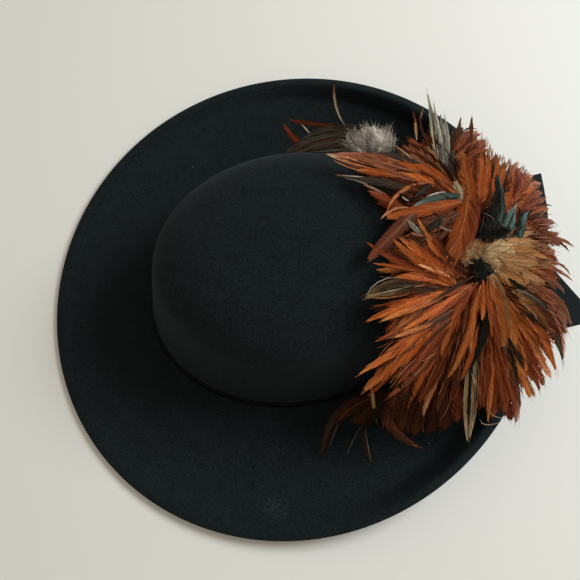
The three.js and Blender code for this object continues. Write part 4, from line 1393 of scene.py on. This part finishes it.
greyFluff = {
    "kinds": ("grey", "down", "mouse"), "wide": 0.3, "count": 900, "spread": 6.0, "clumps": 60,
    "from": (358, 149), "to": (388, 149), "depth": 1.5, "curl": 1.2, "loose": 1.6, "gain": 1.45,
    "tips": ((336, 140), (341, 132), (348, 124), (359, 119), (371, 117), (383, 120), (392, 127),
             (397, 140)),
}
wispBarbs = {
    "kinds": ("olive", "olive", "mouse", "mouse"), "wide": 0.6, "count": 460, "spread": 4.0,
    "clumps": 30, "from": (358, 131), "to": (352, 146), "depth": 1.0, "gain": 0.85, "sag": -3.5,
    "tips": ((300, 136), (288, 147), (284, 152), (290, 153), (310, 153)),
}
khakiFuzz = {
    "kinds": ("tan", "gold", "cream"), "wide": 0.8, "count": 260, "spread": 3.5, "clumps": 16,
    "from": (470, 256), "to": (480, 250), "depth": 2.0, "curl": 3.0, "gain": 0.75,
    "tips": ((464, 254), (466, 246), (472, 240), (480, 242)),
}
creamPatch = {
    "kinds": ("cream", "gold", "gold"), "wide": 0.5, "count": 380, "spread": 3.5, "clumps": 40,
    "from": (484, 246), "to": (487, 266), "depth": 1.5, "gain": 1.0,
    "tips": ((498, 236), (510, 240), (518, 248), (514, 258), (506, 268), (496, 272)),
}
blackCore = {
    "kinds": ("black",), "gain": 1.3, "wide": 1.0, "count": 70, "spread": 2.0, "from": (474, 262),
    "to": (484, 274), "depth": 2.0, "curl": 2.0,
    "tips": ((458, 258), (468, 250), (476, 246), (492, 272), (488, 292), (478, 284), (466, 268)),
}
blackFringe = {
    "kinds": ("black",), "wide": 0.8, "count": 120, "spread": 2.0, "from": (480, 234), "to": (508, 228),
    "depth": 2.0,
    "tips": ((478, 246), (488, 245), (498, 242), (508, 237), (514, 230)),
}
knotHairs = {
    "kinds": ("brown", "rust", "plum"), "wide": 0.8, "count": 90, "spread": 4.0, "from": (466, 199),
    "to": (488, 202), "depth": 2.0, "curl": 1.0, "gain": 0.8,
    "tips": ((462, 206), (474, 208), (484, 212), (492, 208), (494, 200), (486, 194)),
}
blushHairs = {
    "kinds": ("blush", "rust", "plum"), "wide": 0.7, "count": 90, "spread": 5.0, "from": (536, 218),
    "to": (540, 248), "depth": 3.0, "curl": 1.0, "gain": 0.7,
    "tips": ((555, 214), (560, 224), (560, 238), (560, 248)),
}

# Fine plumes over and between those feathers. starts and lengths are shares of the way from a centre to a
# chain of tips, lift is their place over the other feathers, in millimetres, and depth how far they differ.
burstEdge = ((398, 240), (374, 262), (372, 295), (372, 322), (376, 340), (374, 366), (380, 380),
             (392, 394), (412, 406), (440, 420), (470, 424), (490, 420), (514, 414), (528, 394),
             (542, 382), (552, 366), (560, 346), (566, 326))
burstPlumes = {
    "kinds": ("orange", "orange", "rust", "rust", "amber", "brown", "plum"), "form": "under",
    "wide": 6.0, "count": 240, "centre": (478, 274), "tips": burstEdge, "starts": (0.12, 0.62),
    "lengths": (0.3, 0.5), "lift": -1.0, "depth": 2.0, "gain": 0.75,
}
burstHairs = {
    "kinds": ("orange", "rust", "brown", "peach"), "wide": 0.7, "count": 200, "centre": (478, 274),
    "tips": burstEdge, "starts": (0.35, 0.85), "lengths": (0.1, 0.25), "lift": 3.0, "depth": 1.5,
    "gain": 0.9,
}
creamDown = {
    "kinds": ("cream", "gold"), "form": "down", "wide": 8, "count": 46, "centre": (476, 254),
    "tips": ((500, 236), (514, 241), (522, 249), (518, 260), (508, 270), (498, 272)),
    "starts": (0.15, 0.4), "lengths": (0.45, 0.65), "lift": 1.0, "depth": 0.8, "gain": 1.15,
}
fanHairs = {
    "kinds": ("gold", "gold", "tan"), "wide": 0.5, "count": 60, "centre": (482, 256),
    "tips": ((540, 230), (560, 245), (560, 265), (550, 282), (528, 290)),
    "starts": (0.15, 0.7), "lengths": (0.2, 0.4), "lift": 1.0, "depth": 1.0, "gain": 0.9,
}
rimPlumes = {
    "kinds": ("orange", "rust", "rust", "brown"), "form": "under", "wide": 4.5, "count": 40,
    "centre": (494, 226),
    "tips": ((508, 162), (520, 168), (534, 186), (546, 206), (552, 224), (554, 238)),
    "starts": (0.35, 0.7), "lengths": (0.25, 0.4), "lift": -0.5, "depth": 1.5, "gain": 0.5,
}
rimHairs = {
    "kinds": ("blush", "rust", "plum"), "wide": 0.5, "count": 110, "centre": (492, 226),
    "tips": ((486, 146), (499, 153), (513, 160), (524, 166), (535, 176), (544, 192)),
    "starts": (0.82, 0.93), "lengths": (0.08, 0.2), "lift": 1.0, "depth": 1.5, "gain": 0.95,
}
crestPlumes = {
    "kinds": ("orange", "rust", "rust", "brown"), "form": "under", "wide": 5, "count": 50,
    "centre": (476, 220),
    "tips": ((454, 148), (462, 136), (476, 134), (484, 144), (494, 154), (504, 164)),
    "starts": (0.2, 0.65), "lengths": (0.25, 0.45), "lift": -0.5, "depth": 1.5, "gain": 0.6,
}
crestHairs = {
    "kinds": ("blush", "peach", "rust"), "wide": 0.45, "count": 60, "centre": (474, 200),
    "tips": ((458, 132), (466, 128), (478, 128), (488, 138), (494, 150)),
    "starts": (0.8, 0.92), "lengths": (0.08, 0.2), "lift": 1.0, "depth": 1.5, "gain": 0.95,
}
sprayPlumes = {
    "kinds": ("brown", "rust", "brown", "plum"), "form": "under", "wide": 4.5, "count": 70,
    "centre": (464, 204),
    "tips": ((440, 152), (412, 150), (384, 160), (364, 174), (388, 204), (392, 228), (398, 256),
             (430, 262)),
    "starts": (0.1, 0.6), "lengths": (0.25, 0.45), "lift": -1.0, "depth": 1.5, "gain": 0.8,
}
sprayHairs = {
    "kinds": ("blush", "tan", "blush", "peach"), "wide": 1.0, "count": 190, "centre": (462, 204),
    "tips": ((432, 148), (420, 142), (406, 144), (392, 154)),
    "starts": (0.15, 0.7), "lengths": (0.2, 0.4), "lift": 1.0, "depth": 1.5, "gain": 0.95,
}
greyDown = {
    "kinds": ("down", "down", "grey"), "form": "down", "wide": 7, "count": 130, "centre": (373, 162),
    "tips": ((344, 140), (349, 132), (355, 127), (362, 124), (371, 122), (382, 125), (389, 130),
             (393, 140)),
    "starts": (0.1, 0.5), "lengths": (0.3, 0.45), "lift": 0.8, "depth": 0.8, "gain": 2.0,
}


# How far the feathers reach from the root of the spray and how high their tips are, by direction, in
# degrees and millimetres.
spray = {
    "root": (113, -14),
    "rootTop": 96,
    "bulge": 7,
    "turns": (-195, -180, -158, -145, -133, -120, -105, -88, -69, -49, -31, -12, 10, 30, 48, 62, 78, 95,
              108, 122, 134, 143, 153, 165),
    "reaches": (68, 76, 90, 108, 116, 112, 118, 112, 96, 74, 66, 62, 58, 60, 63, 72, 92, 98,
                82, 76, 92, 104, 84, 68),
    "tips": (106, 105, 105, 99, 72, 38, 33, 49, 58, 66, 70, 73, 76, 79, 80, 80, 77, 76,
             84, 94, 103, 106, 107, 106),
}


# A point of the spray's upper surface: out is its share of the reach in that direction.
def spraySurface(turn, out):
    wrapped = turn - 360 if turn > 165 else turn
    reach = np.interp(wrapped, spray["turns"], spray["reaches"])
    tip = np.interp(wrapped, spray["turns"], spray["tips"])
    angle = math.radians(turn)
    top = spray["rootTop"]
    height = top + (tip - top) * out ** 1.5 + spray["bulge"] * 4 * out * (1 - out)
    x, y = spray["root"]
    return np.array([x + reach * out * math.cos(angle), y + reach * out * math.sin(angle), height])


# Layers of filling, from the lowest to the highest. A row has the count of feathers, the shares of the
# reach where their tips and roots lie, how far tips and roots lie under the upper surface, half their
# width and their rise, in millimetres, and the share of the colour, lower in the lower layers as painted
# shade in the gaps between feathers.
burstLayers = (
    (56, 0.86, 0.3, 12, 30, 4.6, 4, 0.4),
    (60, 0.87, 0.2, 8, 18, 4.2, 4, 0.5),
    (60, 0.87, 0.12, 5, 10, 3.8, 4, 0.6),
    (40, 0.7, 0.05, 3, 6, 3.6, 3, 0.6),
)
smallLayers = (
    (16, 0.88, 0.3, 12, 26, 4.2, 4, 0.3),
    (18, 0.9, 0.2, 8, 15, 4.0, 4, 0.4),
    (18, 0.9, 0.12, 5, 9, 3.8, 3, 0.5),
)


# How far the filling's feathers differ: shares, or degrees for turns, and radians about the quill.
fillingLook = {
    "uneven": 0.45,
    "outs": (0.9, 1.02),
    "unders": (0.6, 1.2),
    "rootTurn": 8,
    "sway": 0.08,
    "widths": (0.8, 1.2),
    "roll": 0.4,
}


# Feathers between two directions that fill the spray under those of the photograph.
def addFilling(plumage, fromTurn, toTurn, layers, kinds):
    random = plumage.random
    look = fillingLook
    uneven, rootTurn, sway, roll = look["uneven"], look["rootTurn"], look["sway"], look["roll"]
    for count, tipOut, rootOut, tipUnder, rootUnder, halfWidth, rise, gain in layers:
        for i in range(count):
            turn = fromTurn + (toTurn - fromTurn) * (i + 0.5 + random.uniform(-uneven, uneven)) / count
            out = tipOut * random.uniform(*look["outs"])
            tip = spraySurface(turn, out) - np.array([0, 0, tipUnder * random.uniform(*look["unders"])])
            root = spraySurface(turn + random.uniform(-rootTurn, rootTurn), rootOut)
            root[2] -= rootUnder
            chord = tip - root
            side = np.cross(chord, (0, 0, 1))
            lifted = np.cross(side, chord)
            lifted /= np.linalg.norm(lifted) + 1e-12
            control = (root + tip) / 2 + lifted * rise * 2 + side * random.uniform(-sway, sway)
            plumage.add("under", kinds[random.integers(len(kinds))], root, control, tip,
                        halfWidth * random.uniform(*look["widths"]), lifted,
                        random.uniform(-roll, roll), random.uniform(-roll, roll), gain)


# The groups, each in place of its CAD node: the directions and colours of its filling, its rows, tufts and
# streaks, and how far its feathers lie over the surface, in millimetres.
groupPlan = {
    "feather_burst": {
        "slot": "orange_feathers", "turns": (-195, -42), "layers": burstLayers,
        "kinds": ("orange", "rust", "rust", "brown", "plum"), "rows": burstRows, "lift": 2.0,
        "streaks": (burstPlumes, burstHairs),
    },
    "feather_fan": {
        "slot": "gold_feathers", "turns": (-42, 8), "layers": smallLayers,
        "kinds": ("gold", "amber", "rust"), "rows": fanRows, "lift": 2.0,
        "tufts": (creamPatch,), "streaks": (creamDown, fanHairs),
    },
    "feather_dark_tuft": {
        "slot": "green_black_feathers", "turns": (8, 58), "layers": smallLayers,
        "kinds": ("black",), "rows": darkRows, "lift": 4.0,
        "tufts": (blackCore, khakiFuzz, blackFringe),
    },
    "feather_rim_fringe": {
        "slot": "orange_feathers", "turns": (8, 58), "layers": smallLayers,
        "kinds": ("rust", "orange", "brown"), "rows": rimRows, "lift": 1.5,
        "tufts": (blushHairs,), "streaks": (rimPlumes, rimHairs),
    },
    "feather_crest": {
        "slot": "orange_feathers", "turns": (58, 112), "layers": smallLayers,
        "kinds": ("rust", "rust", "brown", "orange"), "rows": crestRows, "lift": 1.5,
        "tufts": (knotHairs,), "streaks": (crestPlumes, crestHairs),
    },
    "feather_spray": {
        "slot": "orange_feathers", "turns": (112, 165), "layers": smallLayers,
        "kinds": ("brown", "rust", "plum"), "rows": sprayRows, "lift": 2.0,
        "streaks": (sprayPlumes, sprayHairs),
    },
    "feather_wisp": {
        "slot": "grey_feathers", "rows": wispRows, "lift": 0.5,
        "tufts": (wispBarbs, greyFluff), "streaks": (greyDown,),
    },
    "feather_tail": {
        "slot": "brown_feathers", "rows": tailRows, "lift": 0.5,
        "carriers": ("feather_tail", "hat_body"),  # it trails past its node onto the felt
    },
}
firstSeed = 20
for seed, (node, plan) in enumerate(groupPlan.items(), firstSeed):
    plumage = Plumage(seed)
    if "layers" in plan:
        addFilling(plumage, *plan["turns"], plan["layers"], plan["kinds"])
        surface = featherSurface
    else:
        surface = surfaceOf(plan.get("carriers", (node,)))
    addSeen(plumage, plan["rows"], plan["lift"], surface)
    for tuft in plan.get("tufts", ()):
        addTuft(plumage, tuft, plan["lift"] + 1, surface)
    for streaks in plan.get("streaks", ()):
        addStreaks(plumage, streaks, plan["lift"] + streaks["lift"], surface)
    plumage.build(node.replace("feather", "plumes"), node, plan["slot"])
